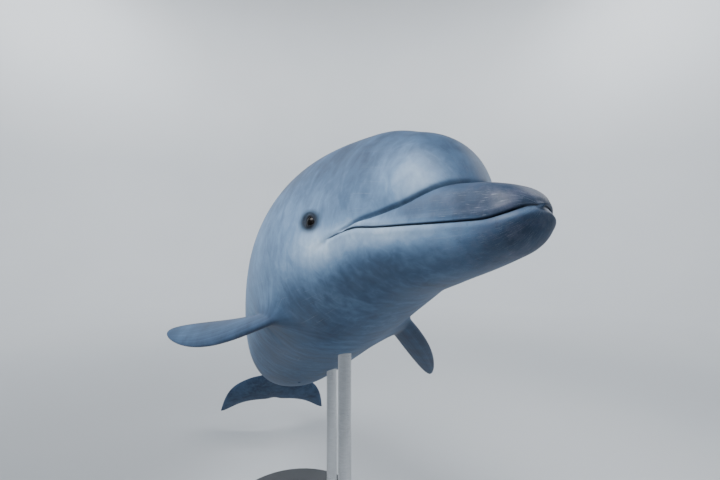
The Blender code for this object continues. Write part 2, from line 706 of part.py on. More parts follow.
def stand_rods(bodies, colour):
    """Upright rods whose tops follow the belly, each in a collar on the base."""
    trees = []
    for body in bodies:
        world = [body.matrix_world @ v.co for v in body.data.vertices]
        trees.append(BVHTree.FromPolygons(world, [tuple(p.vertices) for p in body.data.polygons]))
    for name, s, left in ROD_PLACES:
        spot = pose([-s, left, bottom_line(s)])
        solid = Solid()
        low = solid.add(disc(spot, ROD_RADIUS, BASE_THICKNESS + GAP, ROD_SIDES))
        solid.faces.append(tuple(low))
        for share in (1.0, 0.66, 0.33):
            high = solid.add(under_belly(trees, disc(spot, ROD_RADIUS * share, 0.0, ROD_SIDES)))
            solid.bridge(low, high)
            low = high
        centre = solid.add(under_belly(trees, [[spot[0], spot[1], 0.0]]))[0]
        solid.fan(high, centre)
        solid.build("stand_rod_" + name, colour, 40.0)
        collar = Solid()
        levels = [(ROD_RADIUS + GAP, GAP), (COLLAR_RADIUS, GAP),
                  (COLLAR_RADIUS, COLLAR_HEIGHT - COLLAR_BEVEL),
                  (COLLAR_RADIUS - COLLAR_BEVEL, COLLAR_HEIGHT), (ROD_RADIUS + GAP, COLLAR_HEIGHT)]
        rings = [collar.add(disc(spot, r, BASE_THICKNESS + h, ROD_SIDES)) for r, h in levels]
        for a, b in zip(rings, rings[1:] + rings[:1]):
            collar.bridge(a, b)
        collar.build("stand_collar_" + name, colour, 30.0)


# ---------------------------------------------------------------- the whole model

def main():
    for item in list(bpy.data.objects):
        bpy.data.objects.remove(item, do_unlink=True)
    back = material("back_skin", (.16, .22, .28), .35)
    belly = material("belly_skin", (.45, .50, .54), .38)
    fin_skin = material("fin_skin", (.13, .18, .24), .35)
    eye_material = material("eye", (.02, .02, .025), .08)
    metal = material("rod_metal", (.55, .56, .58), .3, 1.0)
    paint = material("base_paint", (.10, .11, .12), .45)

    tip = [UPPER_TIP * (1 - math.cos(k * math.pi / 10)) for k in range(1, 6)]
    jaw("beak_upper", [*tip, *BEAK_STATIONS, CREASE - GAP / 2], back, False)
    jaw("lower_jaw", [*tip, *BEAK_STATIONS, CREASE, *MELON_STATIONS, GAPE - GAP / 2], belly, True)
    skull = head(back)
    add_eyes(skull, eye_material)

    root_column = round(math.radians(FLIPPER_PLACE[1]) * HALF_COLUMNS / math.pi)
    left = flipper(1, FLIPPER_PLACE, *LEFT_FLIPPER)
    right = flipper(-1, FLIPPER_PLACE, *RIGHT_FLIPPER)
    start, end = FLIPPER_PATCH
    rows, columns = FLIPPER_GRID
    chest_rings = np.concatenate([np.linspace(HEAD_END + GAP / 2, start, 3),
                                  np.linspace(start, end, rows + 1)[1:],
                                  np.linspace(end, CHEST_END - GAP / 2, 6)[1:]])
    size = {"row": 2, "rows": rows, "columns": columns}
    chest = body_length("chest", chest_rings, back, [
        {**size, "column": root_column - columns // 2, "fin": left},
        {**size, "column": 2 * HALF_COLUMNS - root_column - columns // 2, "fin": right}])
    start, end = DORSAL_PATCH
    rows, columns = DORSAL_GRID
    trunk_rings = np.concatenate([[CHEST_END + GAP / 2], np.linspace(start, end, rows + 1),
                                  [(end + TRUNK_END) / 2, TRUNK_END - GAP / 2]])
    trunk = body_length("trunk", trunk_rings, back, [
        {"row": 1, "rows": rows, "column": -columns // 2, "columns": columns, "fin": dorsal_fin}])
    body_length("tail_stock", np.linspace(TRUNK_END + GAP / 2, STOCK_END - GAP / 2, 9), back)
    fluke("fluke_left", 1, fin_skin)
    fluke("fluke_right", -1, fin_skin)
    phase = patch_phase(*FLIPPER_GRID)
    fin_solid("flipper_left", fin_skin, left, phase, GAP / FLIPPER_LENGTH, FIN_LEVELS)
    fin_solid("flipper_right", fin_skin, right, phase, GAP / FLIPPER_LENGTH, FIN_LEVELS)
    fin_solid("dorsal_fin", fin_skin, dorsal_fin, patch_phase(*DORSAL_GRID), GAP / DORSAL_HEIGHT, FIN_LEVELS)
    stand_base(paint)
    stand_rods([chest, trunk], metal)


main()
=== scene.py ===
"""Looks of the life-size bottlenose dolphin: one skin over all its flesh, the eyeballs, the stand's
finishes, a floor, lights and the camera.

The skin repeats the solids' shape functions on a finer grid, so it lies where they lie, and adds what
they leave out: the mouth's slit and lips, the fold round the melon, eyelids, blowhole and slits.
The animal is described straight first: x is minus the distance s behind the upper jaw's tip, y is left
and z is up. A phase runs round the body: 0 on top, pi underneath, and below 0 on the right side.
"""
import math

import bpy
import numpy as np
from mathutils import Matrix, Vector


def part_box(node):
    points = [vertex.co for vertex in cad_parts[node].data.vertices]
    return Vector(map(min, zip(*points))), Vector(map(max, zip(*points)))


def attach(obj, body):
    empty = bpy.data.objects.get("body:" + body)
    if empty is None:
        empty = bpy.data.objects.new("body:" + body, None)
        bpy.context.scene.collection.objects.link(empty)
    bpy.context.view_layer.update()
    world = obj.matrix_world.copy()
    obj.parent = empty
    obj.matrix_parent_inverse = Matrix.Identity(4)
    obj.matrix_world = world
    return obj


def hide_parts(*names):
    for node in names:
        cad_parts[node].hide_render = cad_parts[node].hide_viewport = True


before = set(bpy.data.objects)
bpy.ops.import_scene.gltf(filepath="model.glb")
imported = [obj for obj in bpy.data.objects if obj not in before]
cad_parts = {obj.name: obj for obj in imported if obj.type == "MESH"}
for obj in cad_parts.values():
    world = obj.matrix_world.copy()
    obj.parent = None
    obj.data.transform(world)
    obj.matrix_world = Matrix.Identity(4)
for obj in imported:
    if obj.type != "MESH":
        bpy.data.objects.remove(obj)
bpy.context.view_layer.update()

# ---------------------------------------------------------------- the solids' driving sizes, in metres
CREASE = 0.089              # where the melon rises from the beak
STOCK_END = 2.27            # the flukes start here
NOTCH = 2.50                # notch between the flukes: the body length
EYE_PLACE = (0.365, 75.0)   # distance behind the tip, degrees down from the top of the head
MIN_HALF_THICKNESS = 0.0004
MIN_BLEND = 0.0002

# (distance behind the tip, height above or below the axis, or half width)
# Programs fitted most rows of these tables, the bends, the head's turn, the flippers' angles, the
# flukes' sweep, edge, lobe and span, and the camera's place and lens.
TOP_LINE = [(0.0, .045), (.10, .096), (.15, .108), (.20, .125), (.26, .154), (.33, .178), (.45, .204),
            (.60, .225), (.80, .235), (1.0, .238), (1.2, .231), (1.4, .214), (1.6, .185), (1.8, .149),
            (2.0, .111), (2.2, .071), (2.35, .045), (2.5, .03)]
BOTTOM_LINE = [(0.0, -.071), (.05, -.084), (.10, -.094), (.15, -.101), (.20, -.109), (.26, -.120),
               (.33, -.141), (.45, -.186), (.60, -.226), (.80, -.241), (1.0, -.247), (1.2, -.249),
               (1.4, -.237), (1.6, -.199), (1.8, -.149), (2.0, -.099), (2.2, -.058), (2.35, -.036),
               (2.5, -.03)]
HALF_WIDTH = [(0.0, .028), (.03, .0375), (.06, .0437), (.10, .055), (.15, .0745), (.20, .0915), (.26, .109),
              (.33, .130), (.45, .166), (.60, .197), (.80, .218), (1.0, .224), (1.2, .218), (1.4, .199),
              (1.6, .166), (1.8, .121), (2.0, .0785), (2.2, .0463), (2.35, .034), (2.5, .03)]
MOUTH_LINE = [(0.0, -.036), (.01, -.041), (.03, -.046), (.06, -.0445), (.10, -.0405), (.15, -.036),
              (.21, -.0295), (.24, -.0255), (.26, -.026), (.285, -.029), (.31, -.033), (.34, -.034),
              (.40, -.027), (.50, -.014), (.65, -.006), (1.0, -.006), (1.6, -.002), (2.0, .004), (2.5, 0.0)]
LIP_HEIGHT = [(0.0, .022), (.03, .039), (.06, .0475), (.09, .0515), (.12, .0545), (.15, .049), (.20, .032),
              (.24, .018), (.27, .006), (.31, .004), (.60, .004), (2.5, .004)]

# ---------------------------------------------------------------- beak and melon
UPPER_TIP = 0.032           # lengths over which the jaws' ends round off
LOWER_TIP = 0.042
TIP_BLUNTNESS = 2.35        # of the upper jaw: 2 rounds off as a circle
CHIN_BLUNTNESS = 2.0
TIP_RETREAT = 0.0072        # the upper jaw ends this far behind the straight body's origin
JAW_LEAD = 0.0055           # the lower jaw's tip stands ahead of the upper one
LEAD_FADE = 0.05            # length over which both shifts die out
LEAD_DEPTH = 0.008          # depth below the mouth at which the lower jaw has all its lead
LIP_SQUARENESS = 3.0        # power of the section's superellipse: 2 is an ellipse
BELLY_SQUARENESS = 2.15
MELON_TOP = (0.205, 2.2)    # where the melon reaches full height, and how bluntly it rises
MELON_SIDE = (0.165, 2.0)   # the same for its width
MELON_LIFT = (0.40, 0.10, 0.36)      # its widest level, as a part of its height, fades to 0
MELON_NARROWING = (0.06, 0.2, 0.3)   # part by which it is narrower than the cheeks, fading to 0
FOLD_BLEND = (0.0045, 0.25, 0.31)    # how softly lip and melon meet, fading to 0

# ---------------------------------------------------------------- flukes
FLUKE_HALF_SPAN = 0.322
FLUKE_SWEEP = 0.341         # how far a fluke's tip lies behind its root
FLUKE_ROOT = 0.03           # half width of the tail where the front edges start
FLUKE_EDGE = ((0.49, 1.54), (0.51, 9))   # shares and powers of the two curves that make the front edge
FLUKE_LOBE = (0.013, 0.16)  # bulge of the rear edge beside the notch, and its part of the half span
FLUKE_SPREAD = (0.036, 1.15)   # half width of the first ring, and how early the rings widen
FLUKE_THICKNESS = 0.15      # of the chord
FLUKE_POWERS = (0.5, 0.7)   # of that thickness at the front and rear edges
FLUKE_PEAK = 0.45           # the largest value of their product
FLUKE_RIDGE = (0.016, 0.035)   # height and half width of the ridge that carries the tail on
FLUKE_BLEND = 0.45          # part of the flukes over which the tail's section turns into theirs
FLUKE_BODY = 0.10           # length of tail that this part spans

# ---------------------------------------------------------------- fins
PROFILE_POWERS = (0.5, 0.8)    # of a fin's thickness at its leading and trailing edges
PROFILE_PEAK = 0.42         # the largest value of that product
DORSAL_ROOT = (1.19, 1.53)
DORSAL_SEAT = 1.34          # the fin's base line passes through the back here
DORSAL_HEIGHT = 0.22
DORSAL_LEAN = (0.27, 1.3)   # how far the tip lies behind the root's front, and the curve's power
DORSAL_HOLLOW = (0.03, 0.06, 0.04)     # of the rear edge: root set-back, depth and the tip's reach
DORSAL_THICKNESS = (0.13, 0.03)        # part of the chord at the root, and its loss to the tip
DORSAL_TIP_POWER = 7
DORSAL_SLOPE = 0.09         # how the back falls along the root
FIN_START = (0.025, 0.03)   # height over the skin of the dorsal fin's and the flippers' first ring
FLIPPER_LENGTH = 0.374
FLIPPER_CHORD = 0.135
FLIPPER_FRONT = (-0.068, 0.05, 2.5)    # front of the root, then the tip's set-back and its power
FLIPPER_FULLNESS = 0.12     # the chord widens by this part at mid length
FLIPPER_THICKNESS = (0.20, 0.07)
FLIPPER_TWIST = (0.3, 0.7)  # part of the twist at the root, and the part gained to the tip
FLIPPER_PLACE = (0.62, 135.0)          # distance behind the tip, degrees down from the back
FLIPPER_PATCH = (0.51, 0.77)           # the stretch of body that a flipper's fillet takes up
DORSAL_PATCH = (1.13, 1.57)
LEFT_FLIPPER = (25.0, 44.0, -2.0)      # droop, sweep and twist in degrees
RIGHT_FLIPPER = (14.8, 48.8, -43.7)

# ---------------------------------------------------------------- pose
# start and end of each bend, then yaw, pitch and roll spread over it, in degrees
BENDS = [(0.36, 0.85, -7.8, -13.2, -3.8),
         (0.7, 1.5, 4.3, -8.3, 0.0),
         (1.2, 2.3, -4.3, 4.1, 0.0),
         (2.0, 2.42, 0.0, -32.6, -2.2),
         (0.8, 2.3, 0.0, 0.0, 5.5)]
HEAD_TURN = (-11.0, 21.3, -5.8)    # pitch, yaw and roll of the head
TIP_PLACE = (0.36, -0.96, 1.25)     # the upper jaw's tip in the model's frame
SPINE_LENGTH = 2.6
SPINE_STEPS = 260

# ---------------------------------------------------------------- the skin's grid
HEAD_HALF = 112             # columns on each side of the head, of which MOUTH_COLUMN are above the mouth
MOUTH_COLUMN = 74
BODY_HALF = 56              # columns on each side of the body
MORPH = (0.41, 0.495)       # the head's columns even out between these stations
TIP_ROWS = 16
# start, end and spacing of the skin's rows
HEAD_ROWS = [(UPPER_TIP, .089, .0024), (.089, .131, .0012), (.131, .25, .0022), (.25, .42, .003),
             (.42, .50, .005)]
BODY_ROWS = [(.50, .51, .005), (.51, .77, .0074), (.77, 1.13, .010), (1.13, 1.57, .0092),
             (1.57, STOCK_END, .0105)]
FLUKE_ROWS = 46
FLUKE_CROWD = 1.3           # powers by which rings close up towards the rear edge, and a fin's to its tip
FIN_LEVELS = 44
FIN_CROWD = 1.5
FILLET_RINGS = 14
FILLET_RISE = 0.55          # how steeply a fillet arrives at its fin
FIN_TIP = 0.9999            # height at which a fin's chord stops shrinking
FOLD_SAMPLES = 240
FOLD_SEARCH = (0.125, 50)   # first station where the fold's phase is taken, and its least, in degrees
CROWD_SAMPLES = 400
# crowding of the head's columns: extra density, and its half width in degrees of phase
FOLD_CROWD = (5.0, 4.5)
EYE_CROWD = (2.0, 9)
MOUTH_CROWD = (11.0, 1.6)
LOWER_LIP_CROWD = (14.0, 2.2)
JAW_CROWD = (1.2, 20)
SIDE_CROWD = (2.2, 48, 64)  # extra density from the second angle on, none up to the first
FOLD_CROWD_END = (0.25, 0.30)          # stations between which the fold's crowding gives way to the eye's
EYE_CROWD_START = (0.26, 0.33)
FLUKE_STATIONS = 0.34       # the flukes count as this length of body for colour and unwrap
UNWRAP_STATIONS = (-.01, .45, 1.2, STOCK_END, 2.62)
UNWRAP_HEIGHTS = (.01, .40, .63, .87, .99)   # of those stations: the head takes more than its length
UNWRAP_WIDTH = (.02, .68)   # left edge and width of the body's part
UNWRAP_FIN_SIZE = (.27, .30)
UNWRAP_FIN_CORNERS = ((.72, .01), (.72, .34), (.72, .67))   # left and right flipper, dorsal fin

# ---------------------------------------------------------------- the skin's own forms, in metres
MOUTH_DEPTH = 0.0036
MOUTH_HALF_WIDTH = 0.0010
MOUTH_END = (0.288, 0.318)          # the slit fades out between these stations
MOUTH_START = 0.010                 # and in over this length
LIP_ROLL = 0.0012
# share of the roll, height above the mouth and half width of each lip
LIPS = ((1.0, .0062, .0042), (.8, -.0065, .0045))
CORNER_DEPTH = 0.0022               # of the dimple at the mouth's corner
CORNER_PLACE = (0.318, 0.022)       # its station and half length
CORNER_LINE = (-0.002, 0.35, 0.31)  # its height above the mouth, its fall, and the station it falls from
CORNER_HALF_HEIGHT = 0.006
# rise of the brow and of the hollow under the eye, then middle and half size along the head from the
# eye, and in radians below it
EYE_FORMS = ((.0030, (0.0, .030), (-.085, .09)), (-.0016, (-.012, .035), (.075, .045)))
FOLD_DEPTH = 0.0056                 # of the fold between beak and melon
FOLD_HALF_WIDTH = 0.0032
FOLD_START = (0.092, 0.10)          # it deepens and fades out between these stations
FOLD_END = (0.245, 0.285)
EYE_HALF_LENGTH = 0.0152
EYE_HALF_HEIGHT = 0.0082
LID_THICKNESS = 0.0017
LID_PATCH = (0.030, 15)             # half length, and half the columns, of the patch of grid for the lids
LID_RINGS = 25
LID_CROWD = 1.35                    # power by which the rings close up towards the opening
LID_TILT = 0.10                     # slope of the opening, down towards the snout
LID_ARCH = (0.9, 1.08)              # parts of the half height that the lower and upper lids take
LID_RIM = 0.0022                    # width of the rounded rim
LID_CLEARANCE = 0.0003              # of the rim from the eyeball
LID_HOLD = (0.0015, 0.0075)         # the lid leaves the eyeball between these distances from its rim
LID_SWELL = (0.0011, 0.0028, 0.0022)     # height, distance from the rim and half width
LID_CREASE = (0.0012, 0.0052, 0.0010)    # depth, distance and half width
LID_CREASE_SHARES = (1.05, 0.15)    # parts of it that the upper and lower lids have
OUTER_CREASE = (0.15, 0.0095, 0.0014)    # part of the first crease, distance and half width
LID_TUCK = (0.0005, 0.0016)         # depths in the eyeball of the lid's hidden edge
SLIT_RINGS = 15
SLIT_CROWD = 1.5
SLIT_ROLL = (0.0045, 0.0035)        # distance and half width of the roll round a slit
SLIT_DIP = (1.2, 0.0022)            # depth of its edge as a part of the roll, and half width
SLIT_DEPTHS = (.35, .8, 1.0)
SLIT_NARROWING = 0.6
SLIT_SHADE = 0.004                  # half width of the painted shade round it
# centre as station and phase, half size, half length and half columns of its patch, and its form
# the last value of each is the painted shade in the slit and round its rim
BLOWHOLE = {"centre": (.335, 0.0), "half_size": (.0012, .0135), "patch_size": (.027, 5),
            "bow": .006, "depth": .008, "rim": .0012, "shade_and_stain": .8}
NAVEL = {"centre": (1.27, math.pi), "half_size": (.007, .0014), "patch_size": (.038, 3),
         "bow": 0.0, "depth": .003, "rim": .0012, "shade_and_stain": .3}
GENITAL_SLIT = {"centre": (1.66, math.pi), "half_size": (.060, .0012), "patch_size": (.085, 3),
                "bow": 0.0, "depth": .008, "rim": .0016, "shade_and_stain": .5}

# ---------------------------------------------------------------- eyeballs
BALL_RINGS = 40
BALL_SEGMENTS = 64
DOME = (0.018, 0.45)                # rise over the iris as a part of the radius, and its half angle
PUPIL_HALF_SIZE = (0.30, 0.13)      # along the head and up, as parts of the radius
PUPIL_BOW = (0.25, 0.02)            # how far its ends droop, and how far it sits below the middle
BALL_UNWRAP = 0.48                  # radius of its disc on the unwrap

# ---------------------------------------------------------------- painted shade in slits, the mouth, the fold and the lids, and the eye patch, partly painted shade: 1 is nearly black
MOUTH_SHADE = (0.9, 0.0016)         # painted shade along the mouth's slit: amount and half width
EYE_PATCH = (0.038, 0.105)          # half length, and half height in radians, of the dark patch round it: partly a dark marking, partly painted shade of the lids and brow
# darkness of the eye patch, partly a marking and partly painted shade
EYE_PATCH_DARK_AND_SHADE = 0.93
EYE_PATCH_EDGE = (0.50, 1.12)       # the patch fades between these parts of its half size
LID_SHADE = (0.99, 0.0025, 0.0080)  # painted shade on the lids round the opening: amount, and the distances from the rim between which it fades
# painted shade in the fold between beak and melon
FOLD_SHADE = 0.60

# ---------------------------------------------------------------- tones: 0 is the darkest grey, 1 the palest
# an amount comes first; stretches are stations in metres, and angles are degrees down from the top
CAPE_TONE = (.13, -.02, (.30, .70))          # ahead of the stretch, and its change over it
MELON_TONE_AND_LIGHT = (.50, (.150, .065), (43, 20))   # pale patch on the melon, partly its own paler tone and partly painted light on its front: amount, middle and half size along and down
FLANK_TONE = (.33, (30, 84))
BELLY_SHADE = (-.20, (-4, 20))                # painted shade making the belly darker than the flank: amount, then degrees below its border
BELLY_BORDER = (104, (16, (.30, .60)), (-6, (1.3, 1.9)))     # its angle, and two changes of it
LIPS_TONE = (.34, (94, 14), (.06, .18), (.33, .46))          # middle and half height, start and end
BEAK_TONE = (-.34, (.12, .24), (82, 91))
SNOUT_TONE = (-.16, (.012, .10))
# the flippers' darkness is partly their own darker grey and partly painted shade
FLIPPER_DARK_AND_SHADE = 0.85
DORSAL_DARK = 0.9
FLUKE_DARK = (0.25, 0.9)            # full from this part of the flukes' length on, and amount
DARKENING = 0.78                    # part of the tone that full darkness takes away

# ---------------------------------------------------------------- lights and camera
WORLD_STRENGTH = 0.14
# place, aim, size, power in watts and spread in degrees
LAMPS = {"key": ((-.95, -1.25, 2.95), (.12, -.62, 1.25), (1.5, 1.5), 21, 70),
         "fill": ((3.0, .8, 3.2), (.1, .3, 1.05), (2.0, 2.0), 17, 90)}
WALL_POWERS = (620, 260, 170, 260)  # of the lamps that light the wall behind, right, in front and left
WALL_LAMP = (4.0, 6.5)              # distance of these lamps from the middle, and height
WALL_AIM = (9.0, 2.0)               # the same for the point where each is aimed
WALL_LAMP_SIZE = (12.0, 2.5)
CAMERA_OFFSET = (-.1782, -.3656, -.07)   # from TIP_PLACE
LENS = 18.89                        # millimetres, for a sensor 36 mm wide


# ================================================================ shape functions

def spline(table):
    """Natural cubic spline through (x, y) pairs, as a function of arrays."""
    x, y = np.array(table, float).T
    n = len(x)
    h = np.diff(x)
    system = np.eye(n)
    right = np.zeros(n)
    for i in range(1, n - 1):
        system[i, i - 1:i + 2] = h[i - 1], 2 * (h[i - 1] + h[i]), h[i]
        right[i] = 6 * ((y[i + 1] - y[i]) / h[i] - (y[i] - y[i - 1]) / h[i - 1])
    m = np.linalg.solve(system, right)

    def value(q):
        q = np.clip(np.asarray(q, float), x[0], x[-1])
        i = np.clip(np.searchsorted(x, q, side="right") - 1, 0, n - 2)
        a = x[i + 1] - q
        b = q - x[i]
        return ((m[i] * a**3 + m[i + 1] * b**3) / (6 * h[i]) + (y[i] / h[i] - m[i] * h[i] / 6) * a
                + (y[i + 1] / h[i] - m[i + 1] * h[i] / 6) * b)
    return value


top_line = spline(TOP_LINE)
bottom_line = spline(BOTTOM_LINE)
half_width = spline(HALF_WIDTH)
mouth_line = spline(MOUTH_LINE)
lip_height = spline(LIP_HEIGHT)


def smoothstep(q, a, b):
    t = np.clip((q - a) / (b - a), 0, 1)
    return t * t * (3 - 2 * t)


def fading(q, amount, a, b):
    """The amount up to a, and nothing from b on."""
    return amount * (1 - smoothstep(q, a, b))


def smooth_max(a, b, k):
    h = np.clip(0.5 + 0.5 * (a - b) / k, 0, 1)
    return b + (a - b) * h + k * h * (1 - h)


def bump(q, middle, width):
    return np.exp(-((q - middle) / width)**2)


def rounding(q, a, b, power):
    """0 at a and 1 from b on, with a blunt start."""
    t = np.clip((q - a) / (b - a), 0, 1)
    return (1 - (1 - t)**power)**(1 / power)


def closing(count, power):
    """Values from 0 to 1 that lie closer and closer together."""
    return 1 - (1 - np.linspace(0, 1, count))**power


def unit(v):
    return v / np.linalg.norm(v, axis=-1, keepdims=True)


def superellipse(sine, cosine, a, b, power):
    """Radius of a superellipse with half axes a across and b up, in the direction given."""
    a = np.maximum(a, 1e-6)
    b = np.maximum(b, 1e-6)
    return ((sine / a)**power + (cosine / b)**power)**(-1 / power)


def raised_ellipse(sine, cosine, a, height, lift):
    """Radius of an ellipse whose middle is lifted above the centre by a part of its height."""
    a = np.maximum(a, 1e-6)
    middle = lift * height
    b = np.maximum(height - middle, 1e-6)
    q = (sine / a)**2 + (cosine / b)**2
    along = middle * cosine / b**2
    return (along + np.sqrt(np.maximum(along**2 - q * ((middle / b)**2 - 1), 0))) / q


def lip_and_melon(s, angle):
    """Radii of the two forms that meet in the fold: the beak with its lips, and the melon and back."""
    sine = np.abs(np.sin(angle))
    cosine = np.abs(np.cos(angle))
    upper_end = rounding(s, 0, UPPER_TIP, TIP_BLUNTNESS)
    lip = superellipse(sine, cosine, half_width(s) * upper_end, lip_height(s) * upper_end, LIP_SQUARENESS)
    melon_height = (top_line(s) - mouth_line(s)) * rounding(s, CREASE, *MELON_TOP)
    melon_width = half_width(s) * (1 - fading(s, *MELON_NARROWING)) * rounding(s, CREASE, *MELON_SIDE)
    return lip, raised_ellipse(sine, cosine, melon_width, melon_height, fading(s, *MELON_LIFT))


def body_point(s, angle):
    """Points of the straight body, at an angle about the mouth line's height."""
    s, angle = np.broadcast_arrays(np.asarray(s, float), np.asarray(angle, float))
    lip, melon = lip_and_melon(s, angle)
    depth_below = (mouth_line(s) - bottom_line(s)) * rounding(s, 0, LOWER_TIP, CHIN_BLUNTNESS)
    width = half_width(s) * rounding(s, 0, UPPER_TIP, TIP_BLUNTNESS)
    below = superellipse(np.abs(np.sin(angle)), np.abs(np.cos(angle)), width, depth_below, BELLY_SQUARENESS)
    blend = MIN_BLEND + fading(s, *FOLD_BLEND)
    r = np.where(np.cos(angle) >= 0, smooth_max(lip, melon, blend), below)
    depth = -r * np.cos(angle)
    lead = (JAW_LEAD * smoothstep(depth, 0, LEAD_DEPTH) - TIP_RETREAT) * np.exp(-s / LEAD_FADE)
    return np.stack([lead - s, r * np.sin(angle), mouth_line(s) - depth], -1)


def column_angle(s, phase):
    """Spreads evenly spaced phases evenly round a flattened section."""
    up = np.where(np.cos(phase) >= 0, top_line(s) - mouth_line(s), mouth_line(s) - bottom_line(s))
    return np.arctan2(half_width(s) * np.sin(phase), up * np.cos(phase))


def straight_point(s, phase):
    return body_point(s, column_angle(s, phase))


def turn(axis, angle):
    """Rotation matrix about x (0), y (1) or z (2)."""
    i, j = [(1, 2), (2, 0), (0, 1)][axis]
    m = np.eye(3)
    m[i, i] = m[j, j] = math.cos(angle)
    m[j, i] = math.sin(angle)
    m[i, j] = -math.sin(angle)
    return m


def bent_spine():
    """Places and frames along the spine: the head is straight, and each bend adds its turns."""
    step = SPINE_LENGTH / SPINE_STEPS
    middle = (np.arange(SPINE_STEPS) + 0.5) * step
    turns = np.zeros((SPINE_STEPS, 3))
    for start, end, *angles in BENDS:
        weight = np.sin(np.pi * np.clip((middle - start) / (end - start), 0, 1))**2
        turns += np.outer(weight / weight.sum(), np.radians(angles))
    frames = [np.eye(3)]
    places = [np.zeros(3)]
    for yaw, pitch, roll in turns:
        half = turn(2, yaw / 2) @ turn(1, pitch / 2) @ turn(0, roll / 2)
        places.append(places[-1] - step * (frames[-1] @ half)[:, 0])
        frames.append(frames[-1] @ half @ half)
    return step, np.array(places), np.array(frames)


SPINE_STEP, SPINE_PLACES, SPINE_FRAMES = bent_spine()
# turns the straight head, which looks along +X, to look along -Y
FACING = np.array([[0.0, 1.0, 0.0], [-1.0, 0.0, 0.0], [0.0, 0.0, 1.0]])


def head_matrix():
    pitch, yaw, roll = np.radians(HEAD_TURN)
    return turn(1, -roll) @ turn(2, yaw) @ turn(0, pitch) @ FACING


HEAD_MATRIX = head_matrix()


def frame_at(s):
    """Place and frame of the bent spine at distance s."""
    q = np.clip(s / SPINE_STEP, 0, SPINE_STEPS - 0.001)
    i = q.astype(int)
    f = (q - i)[..., None]
    place = SPINE_PLACES[i] * (1 - f) + SPINE_PLACES[i + 1] * f
    axes = SPINE_FRAMES[i] * (1 - f[..., None]) + SPINE_FRAMES[i + 1] * f[..., None]
    return place, axes, s - q * SPINE_STEP


def pose(points):
    """Straight points bent along the spine and turned into the model's frame."""
    points = np.asarray(points, float)
    place, axes, beyond = frame_at(-points[..., 0])
    local = np.stack([-beyond, points[..., 1], points[..., 2]], -1)
    bent = place + np.einsum("...ij,...j->...i", axes, local)
    return bent @ HEAD_MATRIX.T + np.array(TIP_PLACE)


def fin_profile(ring_phase):
    """Chord fraction and thickness of a fin's section. Phase 0 is the leading edge, pi the trailing."""
    f = (1 - np.cos(ring_phase)) / 2
    shape = f**PROFILE_POWERS[0] * (1 - f)**PROFILE_POWERS[1]
    return f, np.sign(np.sin(ring_phase)) * shape / PROFILE_PEAK


def fluke_front(y):
    v = np.clip((np.abs(y) - FLUKE_ROOT) / (FLUKE_HALF_SPAN - FLUKE_ROOT), 0, 1)
    return STOCK_END + FLUKE_SWEEP * sum(share * v**power for share, power in FLUKE_EDGE)


def fluke_rear(y):
    v = np.abs(y) / FLUKE_HALF_SPAN
    lobe, width = FLUKE_LOBE
    return NOTCH + lobe * smoothstep(v, 0, width) + (STOCK_END + FLUKE_SWEEP - NOTCH - lobe) * v**3


def fluke_point(t, phase):
    """The flukes carry on from the tail stock: t runs from 0 at its end to 1 at the rear edge."""
    t, phase = np.broadcast_arrays(np.asarray(t, float), np.asarray(phase, float))
    across = np.sin(phase)
    root, power = FLUKE_SPREAD
    reach = root + (FLUKE_HALF_SPAN - root) * t**power
    y = across * reach
    rear = fluke_rear(y)
    front = fluke_front(y)
    edge = np.abs(across)**6
    s = ((1 - t) * STOCK_END + t * rear) * (1 - edge) + fluke_front(reach) * edge
    chord = np.maximum(rear - front, 1e-3)
    f = np.clip((s - front) / chord, 0, 1)
    half = FLUKE_THICKNESS * chord / 2 * f**FLUKE_POWERS[0] * (1 - f)**FLUKE_POWERS[1] / FLUKE_PEAK
    ridge = FLUKE_RIDGE[0] * (1 - t) * np.exp(-(y / FLUKE_RIDGE[1])**2)
    half = np.maximum(half + ridge, MIN_HALF_THICKNESS) * np.where(np.abs(across) > 0.999, 0, 1)
    fin = np.stack([-s, y, half * np.sign(np.cos(phase))], -1)
    body = straight_point(STOCK_END + t * FLUKE_BODY, phase)
    keep = (1 - smoothstep(t, 0, FLUKE_BLEND))[..., None]
    return fin * (1 - keep) + body * keep


def dorsal_fin(t, phase):
    """Falcate fin on the back: a ring of its section at height t, from the back to the tip."""
    f, thickness = fin_profile(phase)
    front = DORSAL_ROOT[0] + DORSAL_LEAN[0] * t**DORSAL_LEAN[1]
    set_back, hollow, reach = DORSAL_HOLLOW
    rear = DORSAL_ROOT[1] - set_back - hollow * math.sin(math.pi * t**.9) + reach * t * t
    middle = (front + rear) / 2
    chord = (rear - front) * math.sqrt(1 - min(t, FIN_TIP)**DORSAL_TIP_POWER)
    s = middle + (f - .5) * chord
    base = top_line(DORSAL_SEAT) - DORSAL_SLOPE * (s * (1 - t) + middle * t - DORSAL_SEAT)
    rise = FIN_START[0] + (DORSAL_HEIGHT - FIN_START[0]) * t
    half = (DORSAL_THICKNESS[0] - DORSAL_THICKNESS[1] * t) * chord / 2 * thickness
    return pose(np.stack([-s, half, base + rise], -1))


